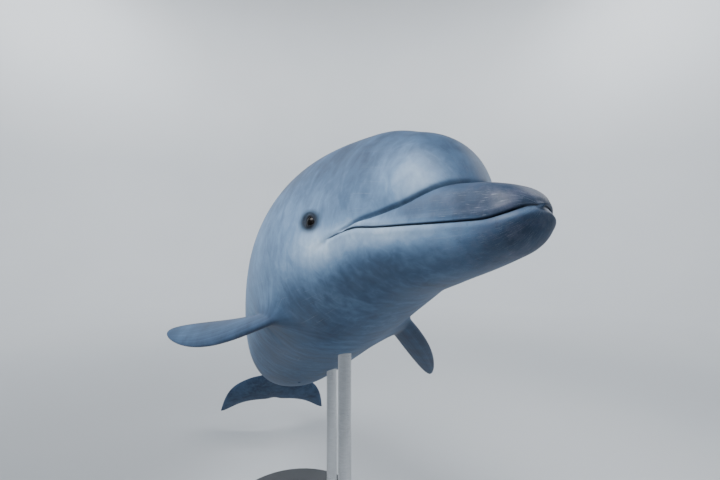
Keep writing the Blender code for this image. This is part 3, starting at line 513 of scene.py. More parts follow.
def flipper(side, place, droop, sweep, twist):
    """Sickle-shaped flipper. Side is 1 on the left; the angles are in degrees."""
    s, angle = place
    root = pose(body_point(s, side * math.radians(angle)))
    back = unit(pose(body_point(s + .02, side * math.radians(angle)))
                - pose(body_point(s - .02, side * math.radians(angle))))
    droop, sweep = math.radians(droop), math.radians(sweep)
    straight = np.array([-math.sin(sweep), side * math.cos(sweep) * math.cos(droop),
                         -math.cos(sweep) * math.sin(droop)])
    out = HEAD_MATRIX @ frame_at(np.array(s))[1] @ straight

    def ring(t, phase):
        f, thickness = fin_profile(phase)
        turned = math.radians(twist) * (FLIPPER_TWIST[0] + FLIPPER_TWIST[1] * t)
        chord_way = back * math.cos(turned) + unit(np.cross(out, back)) * math.sin(turned)
        across = unit(np.cross(chord_way, out))
        front = FLIPPER_FRONT[0] + FLIPPER_FRONT[1] * t**FLIPPER_FRONT[2]
        fullness = 1 + FLIPPER_FULLNESS * math.sin(math.pi * t)
        chord = FLIPPER_CHORD * fullness * math.sqrt(1 - min(t, FIN_TIP)**3)
        half = (FLIPPER_THICKNESS[0] - FLIPPER_THICKNESS[1] * t) * chord / 2 * thickness
        along = FIN_START[1] + (FLIPPER_LENGTH - FIN_START[1]) * t
        middle = front + FLIPPER_CHORD / 2
        u = middle + (f - .5) * chord
        return root + out * along + np.outer(u, chord_way) + np.outer(half, across)
    return ring


# ================================================================ the skin's grid

def stations(spans):
    """Row stations: each span's end included, and the first span's start."""
    rows = [spans[0][0]]
    for start, end, spacing in spans:
        rows.extend(np.linspace(start, end, max(1, round((end - start) / spacing)) + 1)[1:])
    return np.array(rows)


def fold_phase(s):
    """Phase of the fold between beak and melon at each station, from the top down to the mouth."""
    phase = np.linspace(0, math.pi / 2, FOLD_SAMPLES)[None, :]
    lip, melon = lip_and_melon(s[:, None], column_angle(s[:, None], phase))
    return (melon > lip).sum(1) / FOLD_SAMPLES * math.pi / 2


def share_out(density, count):
    """Values from 0 to 1 that divide a density, sampled evenly on that range, into equal parts."""
    total = np.concatenate([[0], np.cumsum((density[1:] + density[:-1]) / 2)])
    return np.interp(np.arange(count + 1) / count, total / total[-1], np.linspace(0, 1, len(density)))


def crowd(phase, middle, amount, width):
    """Extra density of columns about a phase. The width is in degrees."""
    return amount * bump(phase, middle, math.radians(width))


def head_phases(s):
    """Phases of the left side's columns at a head station: closest at the mouth, the fold and the eye."""
    quarter = math.pi / 2
    first_station, least = FOLD_SEARCH
    fold = max(float(fold_phase(np.array([max(s, first_station)]))[0]), math.radians(least))
    above = np.linspace(0, quarter, CROWD_SAMPLES)
    extra, start, end = SIDE_CROWD
    density = (1 + extra * smoothstep(above, math.radians(start), math.radians(end))
               + crowd(above, fold, *FOLD_CROWD) * fading(s, 1, *FOLD_CROWD_END)
               + crowd(above, EYE_PHASE, *EYE_CROWD) * smoothstep(s, *EYE_CROWD_START)
               + crowd(above, quarter, *MOUTH_CROWD))
    upper = share_out(density, MOUTH_COLUMN) * quarter
    below = np.linspace(0, quarter, CROWD_SAMPLES)
    density = 1 + crowd(below, 0, *LOWER_LIP_CROWD) + crowd(below, 0, *JAW_CROWD)
    lower = quarter + share_out(density, HEAD_HALF - MOUTH_COLUMN) * quarter
    own = np.concatenate([upper, lower[1:]])
    even = np.linspace(0, math.pi, HEAD_HALF + 1)
    w = 1 - smoothstep(s, *MORPH)
    return own * w + even * (1 - w)


def both_sides(half):
    """Column phases round the body from those of the left side: 0 up to pi, then the right side."""
    return np.concatenate([half, -half[-2:0:-1]])


def phase_of_angle(s, angle):
    up = top_line(s) - mouth_line(s)
    return math.atan2(math.sin(angle) / half_width(s), math.cos(angle) / up)


EYE_PHASE = phase_of_angle(EYE_PLACE[0], math.radians(EYE_PLACE[1]))


def surface_normals(points):
    """Outward normals of a grid of straight points, rows along the body and columns closed round it."""
    along = np.gradient(points, axis=0)
    round_way = np.roll(points, -1, 1) - np.roll(points, 1, 1)
    normal = np.cross(round_way, along)
    length = np.linalg.norm(normal, axis=-1, keepdims=True)
    return normal / np.maximum(length, 1e-12)


def distance_to_fold(s, phase, points):
    """Distance along the surface from where beak and melon meet, for a grid of points."""
    lip, melon = lip_and_melon(s, column_angle(s, phase))
    gap = np.where(np.cos(phase) > 0, melon - lip, -1.0)
    row_step = np.linalg.norm(np.gradient(points, axis=0), axis=-1)
    column_step = np.linalg.norm(np.roll(points, -1, 1) - np.roll(points, 1, 1), axis=-1) / 2
    slope_rows = np.gradient(gap, axis=0) / np.maximum(row_step, 1e-6)
    slope_columns = (np.roll(gap, -1, 1) - np.roll(gap, 1, 1)) / 2 / np.maximum(column_step, 1e-6)
    return gap / np.maximum(np.hypot(slope_rows, slope_columns), 0.05)


def soft_forms(s, phase, height):
    """Outward displacement of the head's slit, lips and soft swellings. Height is above the mouth."""
    open_part = (1 - smoothstep(s, *MOUTH_END)) * smoothstep(s, 0.0, MOUTH_START)
    slit = -MOUTH_DEPTH * bump(height, 0, MOUTH_HALF_WIDTH) * open_part
    lips = LIP_ROLL * sum(share * bump(height, *lip) for share, *lip in LIPS) * open_part
    level, fall, start = CORNER_LINE
    corner_level = level - fall * (s - start)
    corner = -CORNER_DEPTH * bump(s, *CORNER_PLACE) * bump(height, corner_level, CORNER_HALF_HEIGHT)
    forms = slit + lips + corner
    for rise, (behind, length), (below, breadth) in EYE_FORMS:
        along = bump(s, EYE_PLACE[0] + behind, length)
        forms = forms + rise * along * bump(np.abs(phase) - EYE_PHASE, below, breadth)
    return forms


def new_object(name, data):
    """An object in the scene."""
    made = bpy.data.objects.new(name, data)
    bpy.context.scene.collection.objects.link(made)
    return made


class Skin:
    """Collects the skin's points, with their station and phase, and its faces with their unwrap."""

    def __init__(self):
        self.points = []
        self.stations = []
        self.phases = []
        self.dark = []
        self.shades_and_stains = []
        self.count = 0
        self.faces = []
        self.unwrap = []

    def add(self, points, s, phase, dark=0.0, shade_and_stain=0.0):
        points = np.asarray(points, float).reshape(-1, 3)
        n = len(points)
        self.points.append(points)
        self.stations.append(np.broadcast_to(s, n))
        self.phases.append(np.broadcast_to(phase, n))
        self.dark.append(np.broadcast_to(dark, n))
        self.shades_and_stains.append(np.broadcast_to(shade_and_stain, n))
        self.count += n
        return np.arange(self.count - n, self.count)

    def bridge(self, lower, upper, band=None):
        """Quads between two closed rings. A band is a fin's (corner, size) on the unwrap and its levels."""
        n = len(lower)
        for k in range(n):
            m = (k + 1) % n
            self.faces.append((lower[k], lower[m], upper[m], upper[k]))
            self.unwrap.append(band and self.fin_unwrap(band, k, n))

    @staticmethod
    def fin_unwrap(band, k, n):
        (left, bottom), (width, height), low, high = band
        a = left + width * k / n
        b = left + width * (k + 1) / n
        return [(a, bottom + height * low), (b, bottom + height * low),
                (b, bottom + height * high), (a, bottom + height * high)]

    def ring(self, last, points, s, phase, dark=0.0, shade_and_stain=0.0, band=None):
        """A new ring of points, joined to the last one."""
        new = self.add(points, s, phase, dark, shade_and_stain)
        self.bridge(last, new, band)
        return new

    def face(self, *corners):
        self.faces.append(corners)
        self.unwrap.append(None)


def unwrap_v(s):
    """Height on the unwrap: the head takes a larger share of it than its length."""
    return np.interp(s, UNWRAP_STATIONS, UNWRAP_HEIGHTS)


def unwrap_u(phase):
    left, width = UNWRAP_WIDTH
    return left + width * (phase / (2 * math.pi) + .5)


# ================================================================ openings and fins in the grid

def loop_offsets(rows, columns):
    """Row and column steps round a patch, from the middle of its front side, columns increasing."""
    half = columns // 2
    steps = [(0, c) for c in range(half, columns)]
    steps += [(r, columns) for r in range(rows)]
    steps += [(rows, c) for c in range(columns, 0, -1)]
    steps += [(r, 0) for r in range(rows, 0, -1)]
    steps += [(0, c) for c in range(half)]
    return steps


def patch_phase(rows, columns):
    """Section phase of each point of a patch's boundary: 0 in front, pi behind."""
    steps = np.array(loop_offsets(rows, columns), float)
    a = steps[:, 0] * 2 / rows - 1
    b = steps[:, 1] * 2 / columns - 1
    return np.arctan2(b, -a)


class Grid:
    """A stretch of the skin: rows of points with closed columns, and the patches left open in it."""

    def __init__(self, skin, s, phase, points, shade_and_stain):
        self.s = s
        self.phase = phase
        self.points = points
        self.index = np.array([skin.add(points[i], s[i], phase[i], 0.0, shade_and_stain[i]) for i in range(len(s))])
        self.taken = set()

    def row(self, s):
        return int(np.abs(self.s[:, 0] - s).argmin())

    def patch(self, start, end, middle, half_columns):
        """Leaves a patch open between two stations and gives its place in the grid."""
        row = self.row(start)
        rows = self.row(end) - row
        count = self.points.shape[1]
        off = np.abs((self.phase[row + rows // 2] - middle + math.pi) % (2 * math.pi) - math.pi)
        column = int(off.argmin()) - half_columns
        for r in range(rows):
            for c in range(2 * half_columns):
                self.taken.add((row + r, (column + c) % count))
        return row, rows, column, 2 * half_columns

    def boundary(self, patch):
        """Grid places round a patch."""
        row, rows, column, columns = patch
        count = self.points.shape[1]
        places = [(row + r, (column + c) % count) for r, c in loop_offsets(rows, columns)]
        return tuple(np.array(places).T)

    def normals(self, places):
        i, j = places
        count = self.points.shape[1]
        along = self.points[i + 1, j] - self.points[i - 1, j]
        round_way = self.points[i, (j + 1) % count] - self.points[i, (j - 1) % count]
        return unit(np.cross(round_way, along))

    def fill(self, skin):
        count = self.points.shape[1]
        for i in range(len(self.s) - 1):
            for j in range(count):
                if (i, j) not in self.taken:
                    n = (j + 1) % count
                    skin.face(self.index[i, j], self.index[i, n], self.index[i + 1, n], self.index[i + 1, j])


def grow_fin(skin, grid, patch, fin, corner, dark):
    """A fin with a fillet from the patch's boundary, as rings up to its tip."""
    inner = grid.boundary(patch)
    edge = grid.points[inner]
    phase = patch_phase(patch[1], patch[3])
    first = fin(0.0, phase)
    normal = grid.normals(inner)
    inward = first - edge
    inward = unit(inward - (inward * normal).sum(-1, keepdims=True) * normal)
    outward = unit(fin(0.02, phase) - first)
    span = np.linalg.norm(first - edge, axis=-1, keepdims=True)
    s = grid.s[inner]
    around = grid.phase[inner]
    last = grid.index[inner]
    rings = []
    for u in np.linspace(0, 1, FILLET_RINGS + 2)[1:-1]:
        ring = ((2 * u**3 - 3 * u**2 + 1) * edge + (u**3 - 2 * u**2 + u) * span * inward
                + (3 * u**2 - 2 * u**3) * first + (u**3 - u**2) * span * FILLET_RISE * outward)
        rings.append((ring, dark * smoothstep(u, .2, 1)))
    rings += [(fin(t, phase), dark) for t in closing(FIN_LEVELS, FIN_CROWD)[:-1]]
    for k, (ring, darkness) in enumerate(rings):
        levels = (k / (len(rings) + 1), (k + 1) / (len(rings) + 1))
        last = skin.ring(last, ring, s, around, darkness, band=(corner, UNWRAP_FIN_SIZE, *levels))
    tip = skin.add(fin(1.0, phase).mean(0), s.mean(), around[0], dark)[0]
    top = len(rings) / (len(rings) + 1)
    for k in range(len(last)):
        skin.faces.append((last[k], last[(k + 1) % len(last)], tip))
        skin.unwrap.append(Skin.fin_unwrap((corner, UNWRAP_FIN_SIZE, top, 1.0), k, len(last))[:3])


def patch_rings(grid, patch, centre, outline, shares):
    """Stations and phases of rings from a patch's boundary to an outline about a centre.

    The outline gives (towards the tail, round the body) in metres for a ring phase."""
    inner = grid.boundary(patch)
    s0, phase0 = centre
    step = 0.01
    per_radian = np.linalg.norm(straight_point(s0, phase0 + step) - straight_point(s0, phase0 - step))
    per_radian /= 2 * step
    turned = (grid.phase[inner] - phase0 + math.pi) % (2 * math.pi) - math.pi
    outer = np.stack([grid.s[inner] - s0, turned * per_radian], -1)
    aim = np.stack(outline(patch_phase(patch[1], patch[3])), -1)
    rings = []
    for q in shares:
        flat = outer * (1 - q) + aim * q
        gap = np.linalg.norm(outer - aim, axis=-1) * (1 - q)
        rings.append((s0 + flat[:, 0], phase0 + flat[:, 1] / per_radian, gap))
    return grid.index[inner], rings


def skin_surface(s, phase):
    """Straight skin points away from the fold, with their normals."""
    step = 0.0008
    spread = [(0, 0), (step, 0), (-step, 0), (0, step * 5), (0, -step * 5)]
    here, rear, front, on, back = [straight_point(s + a, phase + b) for a, b in spread]
    normal = unit(np.cross(on - back, rear - front))
    height = here[..., 2] - mouth_line(s)
    return here + normal * soft_forms(s, phase, height)[..., None], normal


def eyelids(skin, grid, side, ball_centre, ball_radius):
    """Lids round an eyeball: folds, a rounded rim that lies on the ball, and an edge tucked into it."""
    centre = (EYE_PLACE[0], side * EYE_PHASE)
    half_length, half_columns = LID_PATCH
    patch = grid.patch(EYE_PLACE[0] - half_length, EYE_PLACE[0] + half_length, centre[1], half_columns)

    def outline(psi):
        u = -EYE_HALF_LENGTH * np.cos(psi)
        arch = np.where(np.sin(psi) * side > 0, *LID_ARCH)
        return u, EYE_HALF_HEIGHT * np.sin(psi) * arch - LID_TILT * side * u

    last, rings = patch_rings(grid, patch, centre, outline, closing(LID_RINGS + 1, LID_CROWD)[1:])
    depth, *crease_place = LID_CREASE
    outer_share, *outer_place = OUTER_CREASE
    height, *swell_place = LID_SWELL
    for s, phase, gap in rings:
        straight, normal = skin_surface(s, phase)
        share = np.where((phase - centre[1]) * side < 0, *LID_CREASE_SHARES)
        crease = bump(gap, *crease_place) * share + outer_share * bump(gap, *outer_place)
        swell = height * bump(gap, *swell_place)
        points = pose(straight + normal * (swell - depth * crease)[:, None])
        rim = np.where(gap < LID_RIM, np.sqrt(np.clip(1 - (1 - gap / LID_RIM)**2, 0, 1)), 1)
        reach = ball_radius + LID_CLEARANCE + LID_THICKNESS * rim
        ball = ball_centre + unit(points - ball_centre) * reach[:, None]
        hold = fading(gap, 1, *LID_HOLD)[:, None]
        points = points * (1 - hold) + ball * hold
        # painted shade on the lids near the opening, over the eye patch
        shade_and_stain = np.maximum(eye_patch_and_shade(s, phase), fading(gap, *LID_SHADE))
        last = skin.ring(last, points, s, phase, shade_and_stain=shade_and_stain)
    # painted shade: the lid's hidden edge inside the eyeball is black
    for depth in LID_TUCK:
        points = ball_centre + unit(points - ball_centre) * (ball_radius - depth)
        last = skin.ring(last, points, s, phase, shade_and_stain=1.0)


def slit(skin, grid, centre, half_size, patch_size, bow, depth, rim, shade_and_stain):
    """A closed slit: rings run in to a thin outline with a soft rim and go down into it."""
    patch = grid.patch(centre[0] - patch_size[0], centre[0] + patch_size[0], centre[1], patch_size[1])

    def outline(psi):
        return -half_size[0] * np.cos(psi) - bow * np.sin(psi)**2, half_size[1] * np.sin(psi)

    last, rings = patch_rings(grid, patch, centre, outline, closing(SLIT_RINGS + 1, SLIT_CROWD)[1:])
    dip, dip_width = SLIT_DIP
    for s, phase, gap in rings:
        straight, normal = skin_surface(s, phase)
        lift = rim * bump(gap, *SLIT_ROLL) - dip * rim * bump(gap, 0, dip_width)
        # painted shade round the slit's edge
        shade = shade_and_stain * bump(gap, 0, SLIT_SHADE)
        last = skin.ring(last, pose(straight + normal * lift[:, None]), s, phase, shade_and_stain=shade)
    middle = (straight + normal * lift[:, None]).mean(0)
    # painted shade darkens the inside of the slit
    for share in SLIT_DEPTHS:
        points = straight + (lift[:, None] - depth * share) * normal
        deep_middle = middle - depth * share * normal.mean(0)
        points = points * (1 - SLIT_NARROWING * share) + deep_middle * SLIT_NARROWING * share
        last = skin.ring(last, pose(points), s, phase, shade_and_stain=shade_and_stain)
    half = len(last) // 2
    for k in range(1, half - 1):
        skin.face(last[k], last[k + 1], last[-k - 1], last[-k])
    skin.face(last[0], last[1], last[-1])
    skin.face(last[half - 1], last[half], last[half + 1])


# ================================================================ the whole skin

def head_grid(skin):
    tip = UPPER_TIP * (1 - np.cos(np.arange(1, TIP_ROWS) / TIP_ROWS * math.pi / 2))
    rows = np.concatenate([tip, stations(HEAD_ROWS)])
    phase = np.array([both_sides(head_phases(s)) for s in rows])
    s = np.repeat(rows[:, None], phase.shape[1], 1)
    straight = straight_point(s, phase)
    normal = surface_normals(straight)
    height = straight[..., 2] - mouth_line(s)
    reach = smoothstep(s, *FOLD_START) * fading(s, 1, *FOLD_END)
    fold = reach * bump(distance_to_fold(s, phase, straight), 0, FOLD_HALF_WIDTH)
    straight = straight + normal * (soft_forms(s, phase, height) - FOLD_DEPTH * fold)[..., None]
    # painted shade darkens the mouth's slit
    amount, half_height = MOUTH_SHADE
    mouth = amount * bump(height, 0, half_height) * fading(s, 1, *MOUTH_END)
    # painted shade in the mouth's slit and in the fold, with the eye patch that is partly painted shade
    shade_and_stain = np.maximum(np.maximum(mouth, eye_patch_and_shade(s, phase)), FOLD_SHADE * fold)
    return Grid(skin, s, phase, pose(straight), shade_and_stain)


def eye_patch_and_shade(s, phase):
    """How dark the skin is in a patch round each eye: partly a dark marking, partly painted shade of the
    lids and brow.
    """
    off = (np.abs(phase) - EYE_PHASE) / EYE_PATCH[1]
    back = (s - EYE_PLACE[0]) / EYE_PATCH[0]
    return fading(np.hypot(off, back), EYE_PATCH_DARK_AND_SHADE, *EYE_PATCH_EDGE)


def body_grid(skin, first):
    rows = stations(BODY_ROWS)[1:]
    half = np.linspace(0, math.pi, BODY_HALF + 1)
    phase = np.repeat(both_sides(half)[None, :], len(rows), 0)
    s = np.repeat(rows[:, None], phase.shape[1], 1)
    grid = Grid(skin, s, phase, pose(straight_point(s, phase)), 0 * s)
    for k in range(2 * BODY_HALF):
        n = (k + 1) % (2 * BODY_HALF)
        a, b, c = first[2 * k], first[2 * k + 1], first[(2 * k + 2) % (2 * HEAD_HALF)]
        skin.face(a, b, c, grid.index[0, n], grid.index[0, k])
    return grid


def grow_flukes(skin, grid):
    phase = grid.phase[-1]
    last = grid.index[-1]
    full, amount = FLUKE_DARK
    for t in closing(FLUKE_ROWS + 1, FLUKE_CROWD)[1:]:
        s = STOCK_END + t * FLUKE_STATIONS
        last = skin.ring(last, pose(fluke_point(t, phase)), s, phase, smoothstep(t, 0, full) * amount)
    count = 2 * BODY_HALF
    side = BODY_HALF // 2
    for k in range(side - 1, -side, -1):
        skin.face(last[(k + 1) % count], last[k % count], last[(BODY_HALF - k) % count],
                  last[BODY_HALF - k - 1])


def build_skin():
    skin = Skin()
    head = head_grid(skin)
    tip = skin.add(pose([[0.0003, 0, mouth_line(0)]]), 0.0, 0.0)[0]
    ring = head.index[0]
    for k in range(len(ring)):
        skin.face(tip, ring[(k + 1) % len(ring)], ring[k])
    for side, name in ((1, "eye_left"), (-1, "eye_right")):
        low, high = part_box(name)
        eyelids(skin, head, side, np.array((low + high) / 2), (high - low).z / 2)
    slit(skin, head, **BLOWHOLE)
    head.fill(skin)

    body = body_grid(skin, head.index[-1])
    flipper_phase = math.radians(FLIPPER_PLACE[1])
    left = body.patch(*FLIPPER_PATCH, flipper_phase, BODY_HALF // 8)
    right = body.patch(*FLIPPER_PATCH, -flipper_phase, BODY_HALF // 8)
    back = body.patch(*DORSAL_PATCH, 0.0, BODY_HALF // 8)
    left_corner, right_corner, dorsal_corner = UNWRAP_FIN_CORNERS
    grow_fin(skin, body, left, flipper(1, FLIPPER_PLACE, *LEFT_FLIPPER), left_corner, FLIPPER_DARK_AND_SHADE)
    grow_fin(skin, body, right, flipper(-1, FLIPPER_PLACE, *RIGHT_FLIPPER), right_corner, FLIPPER_DARK_AND_SHADE)
    grow_fin(skin, body, back, dorsal_fin, dorsal_corner, DORSAL_DARK)
    slit(skin, body, **NAVEL)
    slit(skin, body, **GENITAL_SLIT)
    body.fill(skin)
    grow_flukes(skin, body)
    return skin_object(skin)


def beak_side(s, phase):
    """1 on the beak and 0 on the melon, with a soft edge at the fold between them."""
    lip, melon = lip_and_melon(s, column_angle(s, phase))
    return 1 - smoothstep(melon - lip, -.004, .004)


def skin_tone(s, phase, dark):
    """0 is the darkest grey and 1 the palest. The melon's pale patch is partly painted light, the belly's
    darkening is painted shade, and the flippers' darkness is partly painted shade. The fins' darkness
    takes most of the tone away.
    """
    down = np.degrees(np.abs(column_angle(s, phase)))
    tone, change, stretch = CAPE_TONE
    cape = tone + change * smoothstep(s, *stretch)
    # the melon's pale patch: partly its own paler tone, partly painted light
    tone, along, round_way = MELON_TONE_AND_LIGHT
    melon = tone * bump(s, *along) * bump(down, *round_way)
    tone, angles = FLANK_TONE
    flank = tone * smoothstep(down, *angles)
    border = BELLY_BORDER[0] + sum(more * smoothstep(s, *stretch) for more, stretch in BELLY_BORDER[1:])
    # painted shade: the belly is made darker than the flank
    tone, (start, end) = BELLY_SHADE
    belly_shade = tone * smoothstep(down, border + start, border + end)
    tone, round_way, start, end = LIPS_TONE
    lips = tone * bump(down, *round_way) * smoothstep(s, *start) * fading(s, 1, *end)
    tone, stretch, angles = BEAK_TONE
    beak = fading(s, tone, *stretch) * fading(down, 1, *angles) * beak_side(s, phase)
    tone, stretch = SNOUT_TONE
    snout = fading(s, tone, *stretch)
    return np.clip(cape + melon + flank + belly_shade + lips + beak + snout, 0, 1) * (1 - DARKENING * dark)


def skin_object(skin):
    points = np.concatenate(skin.points)
    s = np.concatenate(skin.stations)
    phase = np.concatenate(skin.phases)
    dark = np.concatenate(skin.dark)
    shade_and_stain = np.concatenate(skin.shades_and_stains)
    mesh = bpy.data.meshes.new("skin")
    mesh.from_pydata(points.tolist(), [], [tuple(int(i) for i in f) for f in skin.faces])
    for name, values in (("tone", skin_tone(s, phase, dark)), ("shade_and_stain", shade_and_stain), ("along", s),
                         ("round", np.abs(phase))):
        attribute = mesh.attributes.new(name, "FLOAT", "POINT")
        attribute.data.foreach_set("value", values.astype(np.float32))
    layer = mesh.uv_layers.new(name="OFBake")
    flat = []
    for corners, own in zip(skin.faces, skin.unwrap):
        if own:
            flat.extend(own)
            continue
        around = phase[list(corners)]
        if around.max() - around.min() > math.pi:
            around = np.where(around < 0, around + 2 * math.pi, around)
        flat.extend(zip(unwrap_u(around), unwrap_v(s[list(corners)])))
    layer.data.foreach_set("uv", np.array(flat, np.float32).ravel())
    mesh.shade_smooth()
    mesh.validate()
    return new_object("skin", mesh)


# ================================================================ materials

class Nodes:
    """Short calls for building a material's node tree."""

    def __init__(self, name):
        self.material = bpy.data.materials.new(name)
        self.material.use_nodes = True
        self.tree = self.material.node_tree
        self.shader = self.tree.nodes["Principled BSDF"]

    def node(self, kind, settings=None, **inputs):
        made = self.tree.nodes.new("ShaderNode" + kind)
        for key, value in (settings or {}).items():
            setattr(made, key, value)
        for key, value in inputs.items():
            self.set(made, key.replace("_", " "), value)
        return made

    def set(self, node, key, value):
        socket = node.inputs[int(key)] if key.isdigit() else node.inputs[key]
        if isinstance(value, bpy.types.NodeSocket):
            self.tree.links.new(value, socket)
        else:
            socket.default_value = value

    def math(self, operation, a, b=0.0, clamp=False):
        made = self.node("Math", {"operation": operation, "use_clamp": clamp})
        self.set(made, "0", a)
        self.set(made, "1", b)
        return made.outputs[0]

    def plus(self, a, b, clamp=False):
        return self.math("ADD", a, b, clamp)

    def times(self, a, b):
        return self.math("MULTIPLY", a, b)

    def place(self):
        """Coordinates in the object's own frame."""
        return self.node("TexCoord").outputs["Object"]

    def stretched(self, vector, scale, angle=0.0):
        return self.node("Mapping", Vector=vector, Rotation=(0, 0, angle), Scale=scale).outputs[0]

    def relief(self, height, strength, distance):
        return self.node("Bump", Strength=strength, Distance=distance, Height=height).outputs[0]

    def value_of(self, attribute):
        return self.node("Attribute", {"attribute_name": attribute}).outputs["Fac"]

    def noise(self, scale, detail=4.0, vector=None, roughness=.55, distortion=0.0):
        made = self.node("TexNoise", Scale=scale, Detail=detail, Roughness=roughness, Distortion=distortion)
        if vector is not None:
            self.set(made, "Vector", vector)
        return made.outputs["Fac"]

    def spread(self, value, low, high, out_low=0.0, out_high=1.0):
        made = self.node("MapRange", {"clamp": True})
        for key, number in zip(("Value", "From Min", "From Max", "To Min", "To Max"),
                               (value, low, high, out_low, out_high)):
            self.set(made, key, number)
        return made.outputs[0]

    def mix(self, factor, a, b):
        made = self.node("Mix", {"data_type": "RGBA"})
        self.set(made, "0", factor)
        self.set(made, "6", a)
        self.set(made, "7", b)
        return made.outputs[2]

    def overlay(self, colour, mask, amount, over):
        """The colour with another over it, as strong as the mask times the amount."""
        return self.mix(self.times(mask, amount), colour, over)

    def ramp(self, factor, stops):
        made = self.node("ValToRGB", Fac=factor)
        elements = made.color_ramp.elements
        while len(elements) < len(stops):
            elements.new(1.0)
        for element, (place, colour) in zip(elements, stops):
            element.position = place
            element.color = colour
        return made.outputs["Color"]

    def finish(self, **inputs):
        for key, value in inputs.items():
            self.set(self.shader, key.replace("_", " "), value)
        return self.material


def srgb(r, g, b):
    """Linear colour from the usual 0 to 255 values."""
    return tuple(((c / 255 + .055) / 1.055)**2.4 for c in (r, g, b)) + (1.0,)


def skin_material():
    """Smooth grey skin, just wet: clouded tones with painted streaks of caustic light and shade, pale rake
    marks and pores, and near the snout blotches, flecks and nicks. Painted shade in slits, the mouth, the
    fold and the lids, and the eye patch that is partly painted shade, are laid over all of it."""
    n = Nodes("dolphin_skin")
    place = n.place()
    along = n.value_of("along")
    shade_and_stain = n.value_of("shade_and_stain")
    body_way = n.node("CombineXYZ", X=along, Y=n.value_of("round")).outputs[0]
    front = n.spread(along, .03, .14, 1.0, 0.0)
    cloud = n.noise(6.0, 5.0, place, .6)
    mottle = n.noise(34.0, 4.0, place, .62)
    # painted caustic light and shade: soft lighter and darker streaks along the body, weaker at the snout
    caustic_streaks = n.noise(1.0, 4.0, n.stretched(body_way, (44.0, 4.0, 1.0), .25), .6, .9)
    caustic_stroke = n.times(n.spread(caustic_streaks, .32, .68, -.07, .07), n.spread(along, .04, .16, .15, 1.0))
    tone = n.plus(n.value_of("tone"), n.spread(cloud, .3, .7, -.13, .13))
    tone = n.plus(tone, n.spread(mottle, .3, .7, -.06, .06))
    tone = n.plus(tone, caustic_stroke, True)
    colour = n.ramp(tone, [(0.0, srgb(40, 56, 79)), (.25, srgb(66, 90, 119)), (.50, srgb(99, 127, 158)),
                           (.75, srgb(136, 160, 186)), (1.0, srgb(180, 197, 214))])
    rakes = n.noise(1.0, 2.0, n.stretched(body_way, (7.0, 260.0, 1.0), .5), .5)
    rake = n.times(n.spread(rakes, .66, .74), n.spread(n.noise(4.0, 2.0, place), .50, .62))
    colour = n.overlay(colour, rake, .35, srgb(196, 205, 213))
    blotch = n.times(n.spread(n.noise(60.0, 4.0, place, .7), .45, .65), front)
    colour = n.overlay(colour, blotch, .28, srgb(100, 101, 121))
    fleck = n.times(n.spread(n.noise(150.0, 3.0, place, .7), .58, .66), front)
    colour = n.overlay(colour, fleck, .35, srgb(48, 56, 70))
    nicks = n.noise(1.0, 2.0, n.stretched(body_way, (60.0, 130.0, 1.0), .9), .5)
    nick = n.times(n.spread(nicks, .62, .72), front)
    colour = n.overlay(colour, nick, .30, srgb(190, 200, 212))
    # painted shade of slits, mouth, fold and lids, and the partly painted eye patch, darken the colour
    # towards near black
    colour = n.mix(shade_and_stain, colour, srgb(12, 18, 28))
    height = n.plus(n.times(mottle, .6), n.times(n.noise(520.0, 2.0, place), .12))
    rough = n.spread(n.plus(cloud, n.times(mottle, .5)), .5, 1.0, .50, .64)
    rough = n.plus(rough, n.times(shade_and_stain, .30))
    return n.finish(Base_Color=colour, Roughness=rough, Normal=n.relief(height, .14, .002),
                    Specular_IOR_Level=.28, Coat_Weight=.03, Coat_Roughness=.30)


def eye_material():
    """Nearly black iris with a flattened pupil, a narrow dark grey white, and a wet gloss."""
    n = Nodes("eyeball")
    fibre = n.spread(n.noise(900.0, 3.0, n.place()), .3, .7)
    iris = n.mix(fibre, srgb(9, 8, 8), srgb(18, 14, 13))
    white = n.mix(fibre, srgb(18, 17, 18), srgb(30, 28, 28))
    colour = n.mix(n.spread(n.value_of("off_axis"), .60, .70), iris, white)
    colour = n.mix(n.spread(n.value_of("pupil"), .9, 1.1), srgb(6, 6, 8), colour)
    return n.finish(Base_Color=colour, Roughness=.10, Specular_IOR_Level=.08, Coat_Weight=.02,
                    Coat_Roughness=.03)


def metal_material():
    """Brushed steel: fine grooves round the rod, and faint clouding."""
    n = Nodes("rod_steel")
    place = n.place()
    grain = n.noise(1.0, 3.0, n.stretched(place, (60.0, 60.0, 2600.0)))
    cloud = n.noise(14.0, 3.0, place)
    colour = n.mix(n.spread(grain, .3, .7), srgb(176, 178, 181), srgb(206, 208, 210))
    rough = n.spread(n.plus(grain, cloud), .6, 1.4, .22, .40)
    return n.finish(Base_Color=colour, Metallic=1.0, Roughness=rough, Normal=n.relief(grain, .08, .0004))


def paint_material():
    """Satin charcoal powder coat with a fine orange-peel grain and slight wear."""
    n = Nodes("base_paint")
    place = n.place()
    grain = n.noise(900.0, 2.0, place)
    cloud = n.noise(5.0, 4.0, place)
    colour = n.mix(n.spread(cloud, .3, .7), srgb(58, 61, 65), srgb(72, 75, 79))
    rough = n.spread(n.plus(grain, cloud), .7, 1.3, .38, .55)
    return n.finish(Base_Color=colour, Roughness=rough, Normal=n.relief(grain, .12, .0005))


# ================================================================ eyeballs

